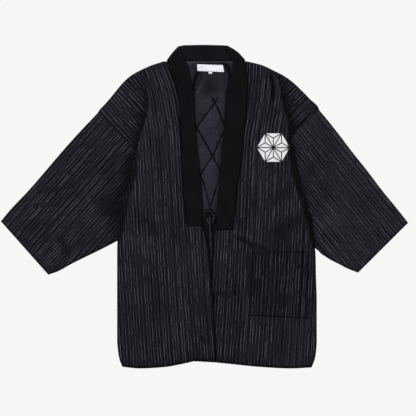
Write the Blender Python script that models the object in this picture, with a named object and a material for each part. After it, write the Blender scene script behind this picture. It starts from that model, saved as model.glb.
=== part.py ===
"""A padded hanten, a short wadded coat of the happi family, laid flat on its back.

Metres, +Z up, the floor at z = 0. +Y runs from the hem to the collar, and +X to the
right of someone looking down at the coat. left and right are that person's.

The back lies on the floor. The lining shows in the neck and lies on the back. The two
fronts lie on the back too, the collar band runs up one front, turns over at the
shoulder, passes behind the neck and comes down the other front, and each sleeve is a
flattened tube whose upper end is tucked between the front and the back.
"""

import math
from typing import NamedTuple

import bmesh
import bpy

# Driving sizes.
WIDTH = 1.096          # cuff to cuff
LENGTH = 0.870         # hem to the top of the collar
PAD = 0.007            # one wall of wadded cloth
SEAM = 0.0003          # gap at a seam, or under what lies on a panel
LIP = 0.0012           # height of a rounded wall's outermost edge
ROUND = 0.008          # how far in a wall's edge is rounded

NECK_Y = 0.3905        # the back's neckline
HEM_Y = -LENGTH / 2
HEM_FADE = 0.20        # how far up the hem's waves are felt

LINING_WALL = 0.0025
QUILT = 0.0020         # how far the lining's diamonds swell
QUILT_WIDE = 0.070     # one diamond, corner to corner
QUILT_TALL = 0.138
QUILT_X = 0.026        # a place where two rows of stitches cross
QUILT_Y = 0.279
QUILT_SWAY = 0.004     # how far the stitches swing from side to side
QUILT_STEPS = 8        # steps of the mesh across one diamond, so that its stitches lie on edges
QUILT_END = (0.325, 0.347)      # it flattens between these heights below the label
QUILT_TIE = (-0.055, -0.035)    # and between these below the ties

BAND_WALL = 0.0042     # the collar's firm band
BAND_TURN = 0.0048     # radius of its turn at the shoulder
BAND_RISE = 0.012      # how far its free edge stands up behind the neck
BAND_BULGE = 0.0045    # how far the right turn bows out

FOLD_BULGE = 0.0015    # extra height along the fold beside each sleeve
VALLEY = 0.0024        # the wall's height at the foot of that fold
UNDERCUT = 0.0022      # how far the fold hangs over its foot
SEAM_DIP = 0.62        # how much of its height a wall keeps at the armhole seam
BACK_SHORT = 0.006     # how far the back's hem stays inside the fronts'
SLIT = 0.0006          # the space inside a flattened sleeve
SLIT_INSET = 0.006     # how far in from a sleeve's edges that space starts
PRESSED = 0.0066       # a sleeve's height where the front lies on it
PRESS_REACH = 0.030

ON_BACK = PAD + SEAM
LINING_TOP = ON_BACK + LINING_WALL
BAND_BASE = LINING_TOP + QUILT + SEAM
LINING_RISE = LINING_WALL + 2 * SEAM

SHELL = (0.018, 0.017, 0.022)
BAND = (0.006, 0.006, 0.007)
SATIN = (0.025, 0.023, 0.034)
WHITE = (0.85, 0.84, 0.92)


class Side(NamedTuple):
    """Where one side's edges are at a height: rim is the armhole and side seam, fold the front's fold."""

    y: float
    rim: float
    fold: float
    depth: float
    loose: float


class Ruling(NamedTuple):
    """One straight line across the collar band, from its seam to its free edge."""

    seam_x: float
    y: float
    free_x: float
    free_y: float


class Edge(NamedTuple):
    """A point of the front opening's edge below the band."""

    y: float
    x: float


class Cut(NamedTuple):
    """One section of a sleeve, from its shoulder edge to its underside."""

    top_x: float
    top_y: float
    under_x: float
    under_y: float
    bend: float


class Hem(NamedTuple):
    """How far the hem is drawn up at one place across it."""

    x: float
    lift: float


class Step(NamedTuple):
    """A point of a tie's route, at the middle of its thickness."""

    x: float
    y: float
    z: float


SIDES = {
    "left": (
        Side(0.3905, -0.111, -0.1065, 0.0, 0.0),
        Side(0.381, -0.140, -0.126, 0.0, 0.0),
        Side(0.368, -0.170, -0.145, 0.0, 0.0),
        Side(0.352, -0.198, -0.160, 0.05, 0.0),
        Side(0.333, -0.219, -0.160, 0.25, 0.0),
        Side(0.314, -0.235, -0.156, 0.50, 0.0),
        Side(0.292, -0.253, -0.152, 0.75, 0.0),
        Side(0.271, -0.2715, -0.151, 1.0, 0.0),
        Side(0.257, -0.2835, -0.153, 1.0, 0.0),
        Side(0.243, -0.271, -0.156, 1.0, 0.0),
        Side(0.219, -0.2485, -0.163, 1.0, 0.0),
        Side(0.195, -0.226, -0.170, 1.0, 0.0),
        Side(0.173, -0.204, -0.177, 1.0, 0.0),
        Side(0.160, -0.1905, -0.1805, 1.0, 0.0),
        Side(0.152, -0.181, -0.1825, 1.0, 1.0),
        Side(0.111, -0.184, -0.194, 1.0, 1.0),
        Side(0.063, -0.192, -0.204, 1.0, 1.0),
        Side(0.025, -0.204, -0.217, 1.0, 1.0),
        Side(-0.016, -0.213, -0.227, 1.0, 1.0),
        Side(-0.053, -0.219, -0.230, 1.0, 1.0),
        Side(-0.094, -0.231, -0.234, 0.6, 0.6),
        Side(-0.118, -0.235, -0.235, 0.0, 0.0),
        Side(-0.186, -0.235, -0.235, 0.0, 0.0),
        Side(-0.253, -0.235, -0.235, 0.0, 0.0),
        Side(-0.307, -0.235, -0.235, 0.0, 0.0),
        Side(-0.361, -0.235, -0.235, 0.0, 0.0),
        Side(-0.394, -0.2325, -0.2325, 0.0, 0.0),
        Side(-0.415, -0.229, -0.229, 0.0, 0.0),
        Side(-0.435, -0.221, -0.221, 0.0, 0.0),
    ),
    "right": (
        Side(0.3905, 0.1165, 0.1135, 0.0, 0.0),
        Side(0.381, 0.154, 0.142, 0.0, 0.0),
        Side(0.368, 0.182, 0.165, 0.0, 0.0),
        Side(0.352, 0.213, 0.190, 0.05, 0.0),
        Side(0.333, 0.239, 0.202, 0.25, 0.0),
        Side(0.314, 0.259, 0.205, 0.50, 0.0),
        Side(0.292, 0.2805, 0.208, 0.75, 0.0),
        Side(0.263, 0.3065, 0.213, 1.0, 0.0),
        Side(0.246, 0.290, 0.2195, 1.0, 0.0),
        Side(0.219, 0.261, 0.227, 1.0, 0.0),
        Side(0.198, 0.2395, 0.2285, 1.0, 0.0),
        Side(0.188, 0.2275, 0.2305, 1.0, 1.0),
        Side(0.152, 0.226, 0.238, 1.0, 1.0),
        Side(0.111, 0.234, 0.247, 1.0, 1.0),
        Side(0.063, 0.244, 0.257, 1.0, 1.0),
        Side(0.025, 0.257, 0.269, 1.0, 1.0),
        Side(-0.016, 0.270, 0.283, 1.0, 1.0),
        Side(-0.053, 0.281, 0.2905, 1.0, 1.0),
        Side(-0.094, 0.289, 0.295, 1.0, 1.0),
        Side(-0.118, 0.296, 0.298, 0.1, 0.6),
        Side(-0.135, 0.299, 0.299, 0.0, 0.0),
        Side(-0.186, 0.300, 0.300, 0.0, 0.0),
        Side(-0.253, 0.302, 0.302, 0.0, 0.0),
        Side(-0.307, 0.302, 0.302, 0.0, 0.0),
        Side(-0.361, 0.302, 0.302, 0.0, 0.0),
        Side(-0.394, 0.300, 0.300, 0.0, 0.0),
        Side(-0.415, 0.296, 0.296, 0.0, 0.0),
        Side(-0.435, 0.288, 0.288, 0.0, 0.0),
    ),
}

RULINGS = {
    "left": (
        Ruling(-0.044, -0.052, -0.004, -0.052),
        Ruling(-0.049, -0.016, -0.003, -0.016),
        Ruling(-0.0545, 0.025, -0.0055, 0.025),
        Ruling(-0.0572, 0.063, -0.0095, 0.064),
        Ruling(-0.0595, 0.111, -0.0145, 0.113),
        Ruling(-0.0613, 0.152, -0.020, 0.156),
        Ruling(-0.0625, 0.195, -0.0235, 0.201),
        Ruling(-0.0645, 0.246, -0.0265, 0.256),
        Ruling(-0.070, 0.292, -0.0285, 0.302),
        Ruling(-0.074, 0.314, -0.032, 0.322),
        Ruling(-0.078, 0.333, -0.0355, 0.340),
        Ruling(-0.0855, 0.352, -0.039, 0.358),
        Ruling(-0.092, 0.368, -0.046, 0.383),
        Ruling(-0.0944, 0.391, -0.0666, 0.4262),
    ),
    "right": (
        Ruling(0.078, -0.062, 0.031, -0.060),
        Ruling(0.0825, -0.016, 0.033, -0.016),
        Ruling(0.0845, 0.025, 0.036, 0.025),
        Ruling(0.0895, 0.063, 0.040, 0.063),
        Ruling(0.0965, 0.111, 0.044, 0.110),
        Ruling(0.103, 0.152, 0.047, 0.150),
        Ruling(0.1065, 0.198, 0.053, 0.195),
        Ruling(0.1105, 0.246, 0.059, 0.243),
        Ruling(0.1137, 0.292, 0.0615, 0.290),
        Ruling(0.115, 0.314, 0.0645, 0.315),
        Ruling(0.1155, 0.333, 0.068, 0.337),
        Ruling(0.1145, 0.352, 0.073, 0.360),
        Ruling(0.112, 0.368, 0.076, 0.386),
        Ruling(0.1023, 0.391, 0.0576, 0.4277),
    ),
}

# The seam line of each band, run on down to the hem.
BELOW_BAND = {"left": -0.040, "right": 0.082}
FREE_TOP_Y = LENGTH / 2

EDGES = {
    "left": (
        Edge(-0.053, -0.004),
        Edge(-0.080, 0.003),
        Edge(-0.107, 0.008),
        Edge(-0.140, 0.013),
        Edge(-0.172, 0.017),
        Edge(-0.210, 0.0193),
        Edge(-0.253, 0.0235),
        Edge(-0.307, 0.0255),
        Edge(-0.361, 0.0282),
        Edge(-0.435, 0.0305),
    ),
    "right": (
        Edge(-0.0635, 0.031),
        Edge(-0.107, 0.026),
        Edge(-0.140, 0.0235),
        Edge(-0.172, 0.0215),
        Edge(-0.210, 0.0208),
        Edge(-0.253, 0.0250),
        Edge(-0.307, 0.0270),
        Edge(-0.361, 0.0297),
        Edge(-0.435, 0.0320),
    ),
}

SLEEVES = {
    "left": (
        Cut(-WIDTH / 2, -0.039, -0.420, -0.183, 0.0),
        Cut(-0.524, -0.010, -0.397, -0.175, 0.0),
        Cut(-0.473, 0.044, -0.356, -0.153, 0.0),
        Cut(-0.427, 0.097, -0.322, -0.136, 0.10),
        Cut(-0.381, 0.151, -0.293, -0.122, 0.30),
        Cut(-0.337, 0.200, -0.267, -0.109, 0.60),
    ),
    "right": (
        Cut(WIDTH / 2, -0.043, 0.413, -0.1775, 0.0),
        Cut(0.518, -0.005, 0.384, -0.166, 0.0),
        Cut(0.478, 0.044, 0.361, -0.154, 0.0),
        Cut(0.437, 0.098, 0.341, -0.144, 0.10),
        Cut(0.394, 0.152, 0.325, -0.134, 0.30),
        Cut(0.363, 0.193, 0.313, -0.126, 0.60),
    ),
}
# Where each armhole starts on the shoulder and ends under the arm.
ARMHOLE = {"left": (0.257, -0.090), "right": (0.263, -0.108)}
# Below these heights the front's fold lies over the armhole.
LAP_START = {"left": 0.152, "right": 0.188}
# How steeply a sleeve runs down as it leaves the armhole, at the shoulder and under the arm.
SLEEVE_FALL = {"left": (1.08, 0.50), "right": (1.20, 0.80)}

HEM = (
    Hem(-0.230, 0.006),
    Hem(-0.200, 0.002),
    Hem(-0.173, 0.0),
    Hem(-0.105, 0.004),
    Hem(-0.051, 0.014),
    Hem(-0.008, 0.022),
    Hem(0.022, 0.017),
    Hem(0.070, 0.012),
    Hem(0.151, 0.004),
    Hem(0.232, 0.0),
    Hem(0.292, 0.003),
)

POCKET = {"left": 0.115, "right": 0.277, "top": -0.119, "bottom": -0.295, "slant": 0.004}
POCKET_WALL = 0.0025
LABEL = {"left": -0.019, "right": 0.0527, "top": 0.384, "bottom": 0.3625}
LABEL_TAB = {"left": 0.0108, "right": 0.0205, "bottom": 0.357}
LABEL_WALL = 0.001

TIE_WIDTH = 0.007
TIE_WALL = 0.003
ON_LINING = BAND_BASE + TIE_WALL / 2
OVER_LOOP = ON_LINING + TIE_WALL + SEAM
IN_OPENING = LINING_TOP + 1.3 * SEAM + TIE_WALL / 2
TIES = {
    "left": (
        Step(0.0004, -0.0135, ON_LINING),
        Step(0.0065, -0.0095, ON_LINING),
        Step(0.0155, -0.0110, ON_LINING),
        Step(0.0240, -0.0185, ON_LINING),
        Step(0.0265, -0.0300, ON_LINING),
        Step(0.0230, -0.0415, ON_LINING),
        Step(0.0150, -0.0465, ON_LINING),
        Step(0.0070, -0.0425, ON_LINING),
        Step(0.0040, -0.0330, ON_LINING),
        Step(0.0060, -0.0245, ON_LINING),
    ),
    "right": (
        Step(0.0150, -0.0220, ON_LINING),
        Step(0.0150, -0.0330, ON_LINING),
        Step(0.0150, -0.0395, OVER_LOOP + 0.0008),
        Step(0.0150, -0.0465, OVER_LOOP + 0.0012),
        Step(0.0153, -0.0530, OVER_LOOP + 0.0004),
        Step(0.0160, -0.0640, ON_LINING),
        Step(0.0172, -0.0820, IN_OPENING),
        Step(0.0182, -0.1050, IN_OPENING),
        Step(0.0188, -0.1250, IN_OPENING),
        Step(0.0188, -0.1460, IN_OPENING),
    ),
}


def between(low, high, share):
    """The value at this share of the way from low to high."""
    return low + (high - low) * share


def smooth(start, end, value):
    """0 before start and 1 after end, with a soft rise between them."""
    share = min(max((value - start) / (end - start), 0.0), 1.0)
    return share * share * (3 - 2 * share)


def crown(inset, reach=ROUND):
    """The height, from 0 to 1, of a quarter-round edge this far in from its rim."""
    share = min(max(inset / reach, 0.0), 1.0)
    return math.sqrt(1 - (1 - share) ** 2)


def read(rows, column, at, key="y"):
    """A table's column at this place, on straight lines between its rows."""
    ordered = sorted(rows, key=lambda row: getattr(row, key))
    for low, high in zip(ordered, ordered[1:]):
        if at <= getattr(high, key) or high is ordered[-1]:
            break
    span = getattr(high, key) - getattr(low, key)
    share = min(max((at - getattr(low, key)) / span, 0.0), 1.0)
    return between(getattr(low, column), getattr(high, column), share)


# Meshes.

def material(name, colour, roughness):
    """A Principled material of one colour."""
    made = bpy.data.materials.get(name) or bpy.data.materials.new(name)
    made.use_nodes = True
    shader = made.node_tree.nodes["Principled BSDF"]
    shader.inputs["Base Color"].default_value = (*colour, 1.0)
    shader.inputs["Roughness"].default_value = roughness
    return made


def add_object(name, body, finish, collection):
    """Turns a finished bmesh into an object of the coat."""
    bmesh.ops.recalc_face_normals(body, faces=body.faces)
    mesh = bpy.data.meshes.new(name)
    body.to_mesh(mesh)
    body.free()
    mesh.shade_smooth()
    mesh.set_sharp_from_angle(angle=math.radians(50))
    made = bpy.data.objects.new(name, mesh)
    made.data.materials.append(finish)
    collection.objects.link(made)
    return made


def bridge(body, first, second):
    """Faces between two rings of the same number of points."""
    count = len(first)
    for i in range(count):
        j = (i + 1) % count
        body.faces.new((first[i], first[j], second[j], second[i]))


def loft(rings):
    """A closed solid through rings of points, with a flat cap at each end."""
    body = bmesh.new()
    made = [[body.verts.new(point) for point in ring] for ring in rings]
    for first, second in zip(made, made[1:]):
        bridge(body, first, second)
    body.faces.new(made[0])
    body.faces.new(made[-1])
    return body


def tube(outer, inner):
    """A tube with a wall: rings of its outer face and of its inner face, open at both ends."""
    body = bmesh.new()
    outside = [[body.verts.new(point) for point in ring] for ring in outer]
    inside = [[body.verts.new(point) for point in ring] for ring in inner]
    for skin in (outside, inside):
        for first, second in zip(skin, skin[1:]):
            bridge(body, first, second)
    bridge(body, outside[0], inside[0])
    bridge(body, outside[-1], inside[-1])
    return body


# The body panels.

def hem_lift(x, y):
    """How far a point is drawn up by the waves of the hem."""
    return read(HEM, "lift", x, key="x") * (1 - smooth(HEM_Y, HEM_Y + HEM_FADE, y))


def from_hem(y):
    """How far up from the hem a row lies."""
    return y - HEM_Y


def lining_rise(x, y):
    """How far the fronts are lifted where the lining's lower end lies under them."""
    across = 1 - smooth(0.062, 0.083, abs(x - 0.018))
    along = smooth(-0.290, -0.215, y) * (1 - smooth(-0.040, 0.030, y))
    return LINING_RISE * across * along


def front_base(x, y):
    """Height of a front's underside."""
    return ON_BACK + lining_rise(x, y)


def front_top(x, y):
    """Height of a front's outer face, away from its edges."""
    return front_base(x, y) + PAD


def panel_rows(tables, extra):
    """The heights of a panel's sections, from the hem up."""
    rim = (HEM_Y, HEM_Y + 0.0008, HEM_Y + 0.003, HEM_Y + 0.008)
    found = {round(row.y, 4) for table in tables for row in table}
    found |= {round(y, 4) for y in (*rim, *extra)}
    return sorted(found)


def band_seam(side, y):
    """The band's seam line at this height, and its run down to the hem below the band."""
    rulings = RULINGS[side]
    if y >= rulings[0].y:
        return read(rulings, "seam_x", y)
    share = (y - HEM_Y) / (rulings[0].y - HEM_Y)
    return between(BELOW_BAND[side], rulings[0].seam_x, share)


def inner_zone(side, y, sign, squeeze):
    """(distance out, height share) of a front's five inmost points."""
    low = LIP / PAD
    end = EDGES[side][0].y
    if y > end:
        start = sign * band_seam(side, y) + SEAM
        full = 1 - smooth(0.0, 0.025, y - end)
        insets = (0.0, 0.0003, 0.0012, 0.003, ROUND)
        shares = [between(low, 1.0, max(crown(inset), full)) for inset in insets]
        return [(start + inset * squeeze, share) for inset, share in zip(insets, shares)]
    edge = sign * read(EDGES[side], "x", y)
    seam = sign * band_seam(side, y)
    near = [(edge + inset, between(low, 1.0, crown(inset))) for inset in (0.0, 0.0012, 0.004)]
    return [*near, (between(edge, seam, 0.5), 1.0), (seam, 1.0)]


def fold_profile(row, edge, lean, squeeze):
    """(distance out, height share) of the turned edge of a front, from its top to its underside."""
    tight = (90, 50, 30, 22, 15, 8, 0, -1)
    full = (90, 45, 5, -18, -38, -58, -76, -86)
    made = []
    for low, high in zip(tight, full):
        angle = math.radians(between(low, high, row.loose))
        reach = ROUND if angle > 0 else 0.0035
        out = edge - reach * (1 - math.cos(angle)) * squeeze
        middle = between(LIP / PAD, 0.5, row.loose)
        swing = 1 - middle if angle > 0 else middle * 0.9
        made.append((out, middle + swing * math.sin(angle) + lean * max(math.sin(angle), 0)))
    return made


def lap_profile(row, fold, rim, rim_height, squeeze):
    """(distance out, height share) over the fold, down into its valley and out to the armhole."""
    depth = row.depth
    nose = between(1.0, 0.72, depth)
    valley = between(1.0, VALLEY / PAD, depth)
    foot = between(1.0, 0.55, depth)
    run = rim - fold
    return [
        (fold - ROUND * squeeze, 1 + FOLD_BULGE / PAD * depth),
        (fold - 0.0022 * squeeze, between(1.0, 1.05, depth)),
        (fold, nose),
        (fold - between(-UNDERCUT, UNDERCUT, depth) * squeeze, valley),
        (fold + min(0.35 * run, 0.012), foot),
        (fold + 0.7 * run, between(foot, 1.0, smooth(0.015, 0.06, run)) * crown(0.3 * run)),
        (rim - 0.0015 * squeeze, max(crown(0.0015), rim_height + 0.1) * between(foot, 1.0, 0.5)),
        (rim, rim_height),
    ]


def front_section(side, y, columns):
    """The closed ring of one section of a front."""
    sign = -1 if side == "left" else 1
    table = SIDES[side]
    row = Side(y, *(read(table, column, y) for column in ("rim", "fold", "depth", "loose")))
    rim, fold = sign * row.rim, sign * row.fold
    lapped = y > LAP_START[side]
    squeeze = min((rim - sign * band_seam(side, y)) / 0.08, 1.0) if y > 0 else 1.0
    inner = inner_zone(side, y, sign, squeeze)
    if lapped:
        rim_height = SEAM_DIP if y < ARMHOLE[side][0] else LIP / PAD
        outer = lap_profile(row, fold, rim, rim_height, squeeze)
    else:
        outer = fold_profile(row, fold, FOLD_BULGE / PAD * row.depth, squeeze)
    last, first = inner[-1][0], outer[0][0]
    middle = [(between(last, first, (i + 1) / (columns + 1)), 1.0) for i in range(columns)]
    top = [*inner, *middle, *outer]
    under_edge = outer[-1][0]
    shares = (0.0, 0.08, 0.35, 0.7, 1.0)
    under = [(between(under_edge, last, share), 0.0) for share in shares]
    under.append((inner[0][0], 0.0))
    swell = crown(from_hem(y))
    ring = []
    for out, share in [*top, *under]:
        x = sign * out
        low = LIP / PAD
        height = share if share < low else low + (share - low) * swell
        ring.append((x, y + hem_lift(x, y), front_base(x, y) + PAD * height))
    return ring


def front(side, columns=8):
    """One front, with its drop shoulder, from the band and the front opening to the side."""
    end = EDGES[side][0].y
    rows = panel_rows((SIDES[side], RULINGS[side][1:-1], EDGES[side]), (end + 0.0007,))
    rows = [y for y in rows if y <= NECK_Y]
    return loft([front_section(side, y, columns) for y in rows])


def back_section(y, columns):
    """The closed ring of one section of the back: a flat underside with rounded rims."""
    left, right = (read(SIDES[side], "rim", y) for side in ("left", "right"))
    depth = PAD - 0.0016
    angles = [math.radians(angle) for angle in (0, 28, 58, 90)]
    insets = [ROUND * (1 - math.cos(angle)) for angle in angles]
    heights = [depth * (1 - math.sin(angle)) for angle in angles]
    swell = depth * (1 - crown(min(from_hem(y), NECK_Y - y + 0.002)))
    inside = [between(left + ROUND, right - ROUND, (i + 1) / (columns + 1)) for i in range(columns)]
    under = [
        *((left + inset, height) for inset, height in zip(insets, heights)),
        *((x, 0.0) for x in inside),
        *((right - inset, height) for inset, height in reversed(list(zip(insets, heights)))),
    ]
    over = [(right, PAD), *((x, PAD) for x in reversed(inside)), (left, PAD)]
    short = BACK_SHORT * (1 - smooth(HEM_Y, HEM_Y + HEM_FADE, y))
    ring = [(x, y + hem_lift(x, y) + short, max(z, swell)) for x, z in under]
    return ring + [(x, y + hem_lift(x, y) + short, z) for x, z in over]


def back(columns=14):
    """The back, all that the coat lies on between its sleeves."""
    rows = panel_rows(SIDES.values(), (NECK_Y - 0.003,))
    return loft([back_section(y, columns) for y in rows])


# The sleeves.

def pressed(side, x, y):
    """A flattened sleeve's height: less where the front's fold lies on it."""
    sign = -1 if side == "left" else 1
    full = 2 * PAD + SLIT
    clear = sign * (x - read(SIDES[side], "fold", y))
    start = LAP_START[side]
    held = smooth(start + 0.050, start + 0.004, y) * smooth(-0.160, -0.110, y)
    return between(full, PRESSED, held * (1 - smooth(0.0, PRESS_REACH, clear - 0.003)))


def armhole_heights(side):
    """The heights of the points along a sleeve's upper end, down from the shoulder."""
    top, end = ARMHOLE[side]
    rim = [row.y for row in SIDES[side] if end + 0.012 < row.y < top - 0.012]
    edge = (0.0, 0.0012, 0.0040, 0.0090)
    return [*(top - step for step in edge), *rim, *(end + step for step in reversed(edge))]


def armhole_points(side, gap, reach):
    """A line that follows the armhole, gap off it and at least reach clear of the front's fold."""
    sign = -1 if side == "left" else 1
    top, end = ARMHOLE[side]
    steep, shallow = SLEEVE_FALL[side]
    made = []
    for y in armhole_heights(side):
        share = (top - y) / (top - end)
        fall = 0.0 if reach is None else between(steep, shallow, share)
        rim = sign * read(SIDES[side], "rim", y)
        off = gap
        if reach is not None:
            spread = reach * between(1.0, 0.5, share)
            off = gap + spread
            for _ in range(4):
                fold = sign * read(SIDES[side], "fold", y - off * fall)
                off = max(gap + spread, fold - rim + 0.0015 + spread)
        made.append((sign * (rim + off), y - off * fall))
    return made


def cut_points(side, cut):
    """The points of one of the table's sections, bowed as the armhole is."""
    top, end = ARMHOLE[side]
    start, finish = (read(SIDES[side], "rim", y) for y in (top, end))
    made = []
    for y in armhole_heights(side):
        share = (top - y) / (top - end)
        bow = read(SIDES[side], "rim", y) - between(start, finish, share)
        x = between(cut.top_x, cut.under_x, share) + cut.bend * bow
        made.append((x, between(cut.top_y, cut.under_y, share)))
    return made


def cuff_inset(points, inset):
    """The cuff's section moved up the sleeve by a small distance."""
    first, second = points
    made = []
    for (x0, y0), (x1, y1) in zip(first, second):
        share = inset / math.dist((x0, y0), (x1, y1))
        made.append((between(x0, x1, share), between(y0, y1, share)))
    return made


def toward(point, target, distance):
    """A point moved this far toward another one."""
    share = min(distance / max(math.dist(point, target), 1e-9), 1.0)
    return tuple(between(a, b, share) for a, b in zip(point, target))


def sleeve(side):
    """One sleeve: a flattened tube, open at its cuff and where it joins the body."""
    cuts = [cut_points(side, cut) for cut in SLEEVES[side]]
    insets = (0.0, 0.0012, 0.004, 0.009)
    lines = [cuff_inset(cuts[:2], inset) for inset in insets] + cuts[1:]
    swells = [crown(inset, 0.009) for inset in insets] + [1.0] * (len(cuts) - 1)
    for gap, reach in ((0.004, 0.016), (0.0022, 0.0), (SEAM + 0.0002, None)):
        lines.append(armhole_points(side, gap, reach))
        swells.append(1.0 if reach is not None else SEAM_DIP)
    outer, inner = [], []
    for line, swell in zip(lines, swells):
        upper, lower, over, under = [], [], [], []
        for i, point in enumerate(line):
            inset = min(math.dist(point, line[0]), math.dist(point, line[-1]))
            middle = pressed(side, *point) / 2
            share = between(0.3, 1.0, swell) * crown(inset)
            upper.append((*point, middle * (1 + share)))
            lower.append((*point, middle * (1 - share)))
            hollow = SLIT / 2 * between(2.2, 1.0, swell) * crown(inset, 0.012)
            inward = line[4] if i < len(line) / 2 else line[-5]
            pulled = toward(point, inward, SLIT_INSET * max(1 - inset / 0.010, 0.0))
            over.append((*pulled, middle + hollow))
            under.append((*pulled, middle - hollow))
        outer.append(upper + lower[-2:0:-1])
        inner.append(over + under[-2:0:-1])
    return tube(outer, inner)


# The lining, the band and what lies on them.

def quilt_shift(y):
    """How far the stitches have swung sideways at this height."""
    return QUILT_SWAY * math.sin(2 * math.pi * (y - QUILT_Y) / QUILT_TALL)


def quilting(x, y):
    """How high a diamond of the lining stands, 0 along its stitches."""
    across = (x - QUILT_X - quilt_shift(y)) / QUILT_WIDE
    along = (y - QUILT_Y) / QUILT_TALL
    one = abs(math.sin(math.pi * (across + along)))
    other = abs(math.sin(math.pi * (across - along)))
    flat = (1 - smooth(*QUILT_END, y)) * smooth(*QUILT_TIE, y)
    return (one * other) ** 0.4 * flat


def lining_edges(y):
    """The lining's left and right edges at this height: under the bands, then under the fronts."""
    tuck = 0.010
    left = read(RULINGS["left"], "seam_x", y) + tuck
    right = read(RULINGS["right"], "seam_x", y) - tuck
    low = smooth(-0.020, -0.050, y)
    return between(left, -0.012, low), between(right, 0.044, low)


def lining_columns(y, first, last=6, edge=0.004, least=0.0015):
    """Where the lining's mesh has points across it: in line with its diamonds, inside its edges."""
    left, right = lining_edges(y)
    start = QUILT_X + quilt_shift(y)
    inner = []
    for k in range(first, last + 1):
        lowest = left + edge + (k - first + 1) * least
        highest = right - edge - (last - k + 1) * least
        inner.append(min(max(start + k * QUILT_WIDE / QUILT_STEPS, lowest), highest))
    return [left, left + edge, *inner, right - edge, right]


def lining(first=-7, low_row=-27, high_row=6):
    """The quilted lining where the neck shows it, with each stitch on an edge of its mesh."""
    top, bottom = NECK_Y - 0.0005, -0.200
    heights = [QUILT_Y + row * QUILT_TALL / QUILT_STEPS for row in range(low_row, high_row + 1)]
    heights = [bottom, bottom + 0.003, *heights, top - 0.003, top]
    body = bmesh.new()
    grid = []
    for y in heights:
        columns = lining_columns(y, first)
        line = []
        for x in columns:
            inset = min(x - columns[0], columns[-1] - x, y - bottom, top - y)
            wall = LINING_WALL * between(0.4, 1.0, crown(inset, 0.004))
            swell = QUILT * quilting(x, y) * smooth(0.0, 0.006, inset)
            line.append(body.verts.new((x, y, ON_BACK + wall + swell)))
        grid.append(line)
    for i, (low, high) in enumerate(zip(grid, grid[1:])):
        row = low_row + i - 2
        for j in range(len(low) - 1):
            column = first + j - 2
            corners = [low[j], low[j + 1], high[j + 1], high[j]]
            if (column - row) % QUILT_STEPS == 0:
                corners = corners[1:] + corners[:1]
            body.faces.new((corners[0], corners[1], corners[3]))
            body.faces.new((corners[1], corners[2], corners[3]))
    rim = grid[0][:-1] + [line[-1] for line in grid[:-1]]
    rim += grid[-1][:0:-1] + [line[0] for line in grid[:0:-1]]
    base = [body.verts.new((vert.co.x, vert.co.y, ON_BACK)) for vert in rim]
    bridge(body, rim, base)
    body.faces.new(base)
    return body


def band_ring(seam, free, normal, outward, bulge):
    """The closed ring of the band's section over one ruling."""
    profile = (
        (0.0, -0.28), (0.0, 0.28), (0.03, 0.5), (0.35, 0.5), (0.68, 0.5), (0.97, 0.5),
        (1.0, 0.25), (1.0, -0.25), (0.97, -0.5), (0.68, -0.5), (0.35, -0.5), (0.03, -0.5),
    )
    ring = []
    for across, up in profile:
        bow = bulge * math.sin(math.pi * across)
        ring.append(tuple(
            between(a, b, across) + n * up * BAND_WALL + o * bow
            for a, b, n, o in zip(seam, free, normal, outward)
        ))
    return ring


def band_front(side):
    """Rings up one front, over the lining, to the turn at the shoulder."""
    height = BAND_BASE + BAND_WALL / 2
    rings = []
    for row in RULINGS[side]:
        seam, free = (row.seam_x, row.y, height), (row.free_x, row.free_y, height)
        rings.append(band_ring(seam, free, (0, 0, 1), (0, 0, 0), 0.0))
    return rings


def band_turn(side, steps=6):
    """Rings over the half turn at one shoulder, from the upper layer to the lower."""
    row = RULINGS[side][-1]
    along = (row.free_x - row.seam_x, row.free_y - row.y)
    span = math.hypot(*along)
    turn = 1 if side == "left" else -1
    out = (-turn * along[1] / span, turn * along[0] / span, 0.0)
    middle = BAND_BASE + BAND_WALL / 2 - BAND_TURN
    rings = []
    for i in range(1, steps + 1):
        angle = math.pi * i / steps
        reach, height = BAND_TURN * math.sin(angle), middle + BAND_TURN * math.cos(angle)
        seam = (row.seam_x + out[0] * reach, row.y + out[1] * reach, height)
        free = (row.free_x + out[0] * reach, row.free_y + out[1] * reach, height)
        normal = (out[0] * math.sin(angle), out[1] * math.sin(angle), math.cos(angle))
        bulge = BAND_BULGE * math.sin(angle) if side == "right" else 0.0
        rings.append(band_ring(seam, free, normal, out, bulge))
    return rings


def band_behind(steps=14):
    """Rings behind the neck, where the band's inner face is up and its free edge stands."""
    left, right = RULINGS["left"][-1], RULINGS["right"][-1]
    low = BAND_BASE + BAND_WALL / 2 - 2 * BAND_TURN
    rings = []
    for i in range(1, steps):
        share = i / steps
        rise = math.sin(math.pi * share) ** 2
        top = smooth(0.0, 0.16, share) * smooth(1.0, 0.84, share)
        base = between(left.free_y, right.free_y, share)
        seam = (between(left.seam_x, right.seam_x, share), left.y, low + 0.003 * rise)
        free_x = between(left.free_x, right.free_x, share)
        free = (free_x, between(base, FREE_TOP_Y - 0.0002, top), low + BAND_RISE * rise)
        tilt = math.atan2(free[2] - seam[2], free[1] - seam[1])
        rings.append(band_ring(seam, free, (0, math.sin(tilt), -math.cos(tilt)), (0, 0, 0), 0.0))
    return rings


def band():
    """The collar, one strip from the bottom of the left front to the bottom of the right."""
    rings = band_front("left") + band_turn("left") + band_behind()
    rings += band_turn("right")[::-1] + band_front("right")[::-1]
    return loft(rings)


def slab(outline, base, wall, edge):
    """A flat piece of cloth with a softened upper edge, lying at a height."""
    centre = [sum(point[axis] for point in outline) / len(outline) for axis in (0, 1)]
    rings = []
    for height, inset in ((0.0, 0.0), (0.6, 0.0), (1.0, edge)):
        ring = []
        for x, y in outline:
            away = math.dist((x, y), centre)
            share = inset / away
            ring.append((between(x, centre[0], share), between(y, centre[1], share), base + wall * height))
        rings.append(ring)
    return loft(rings)


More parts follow.
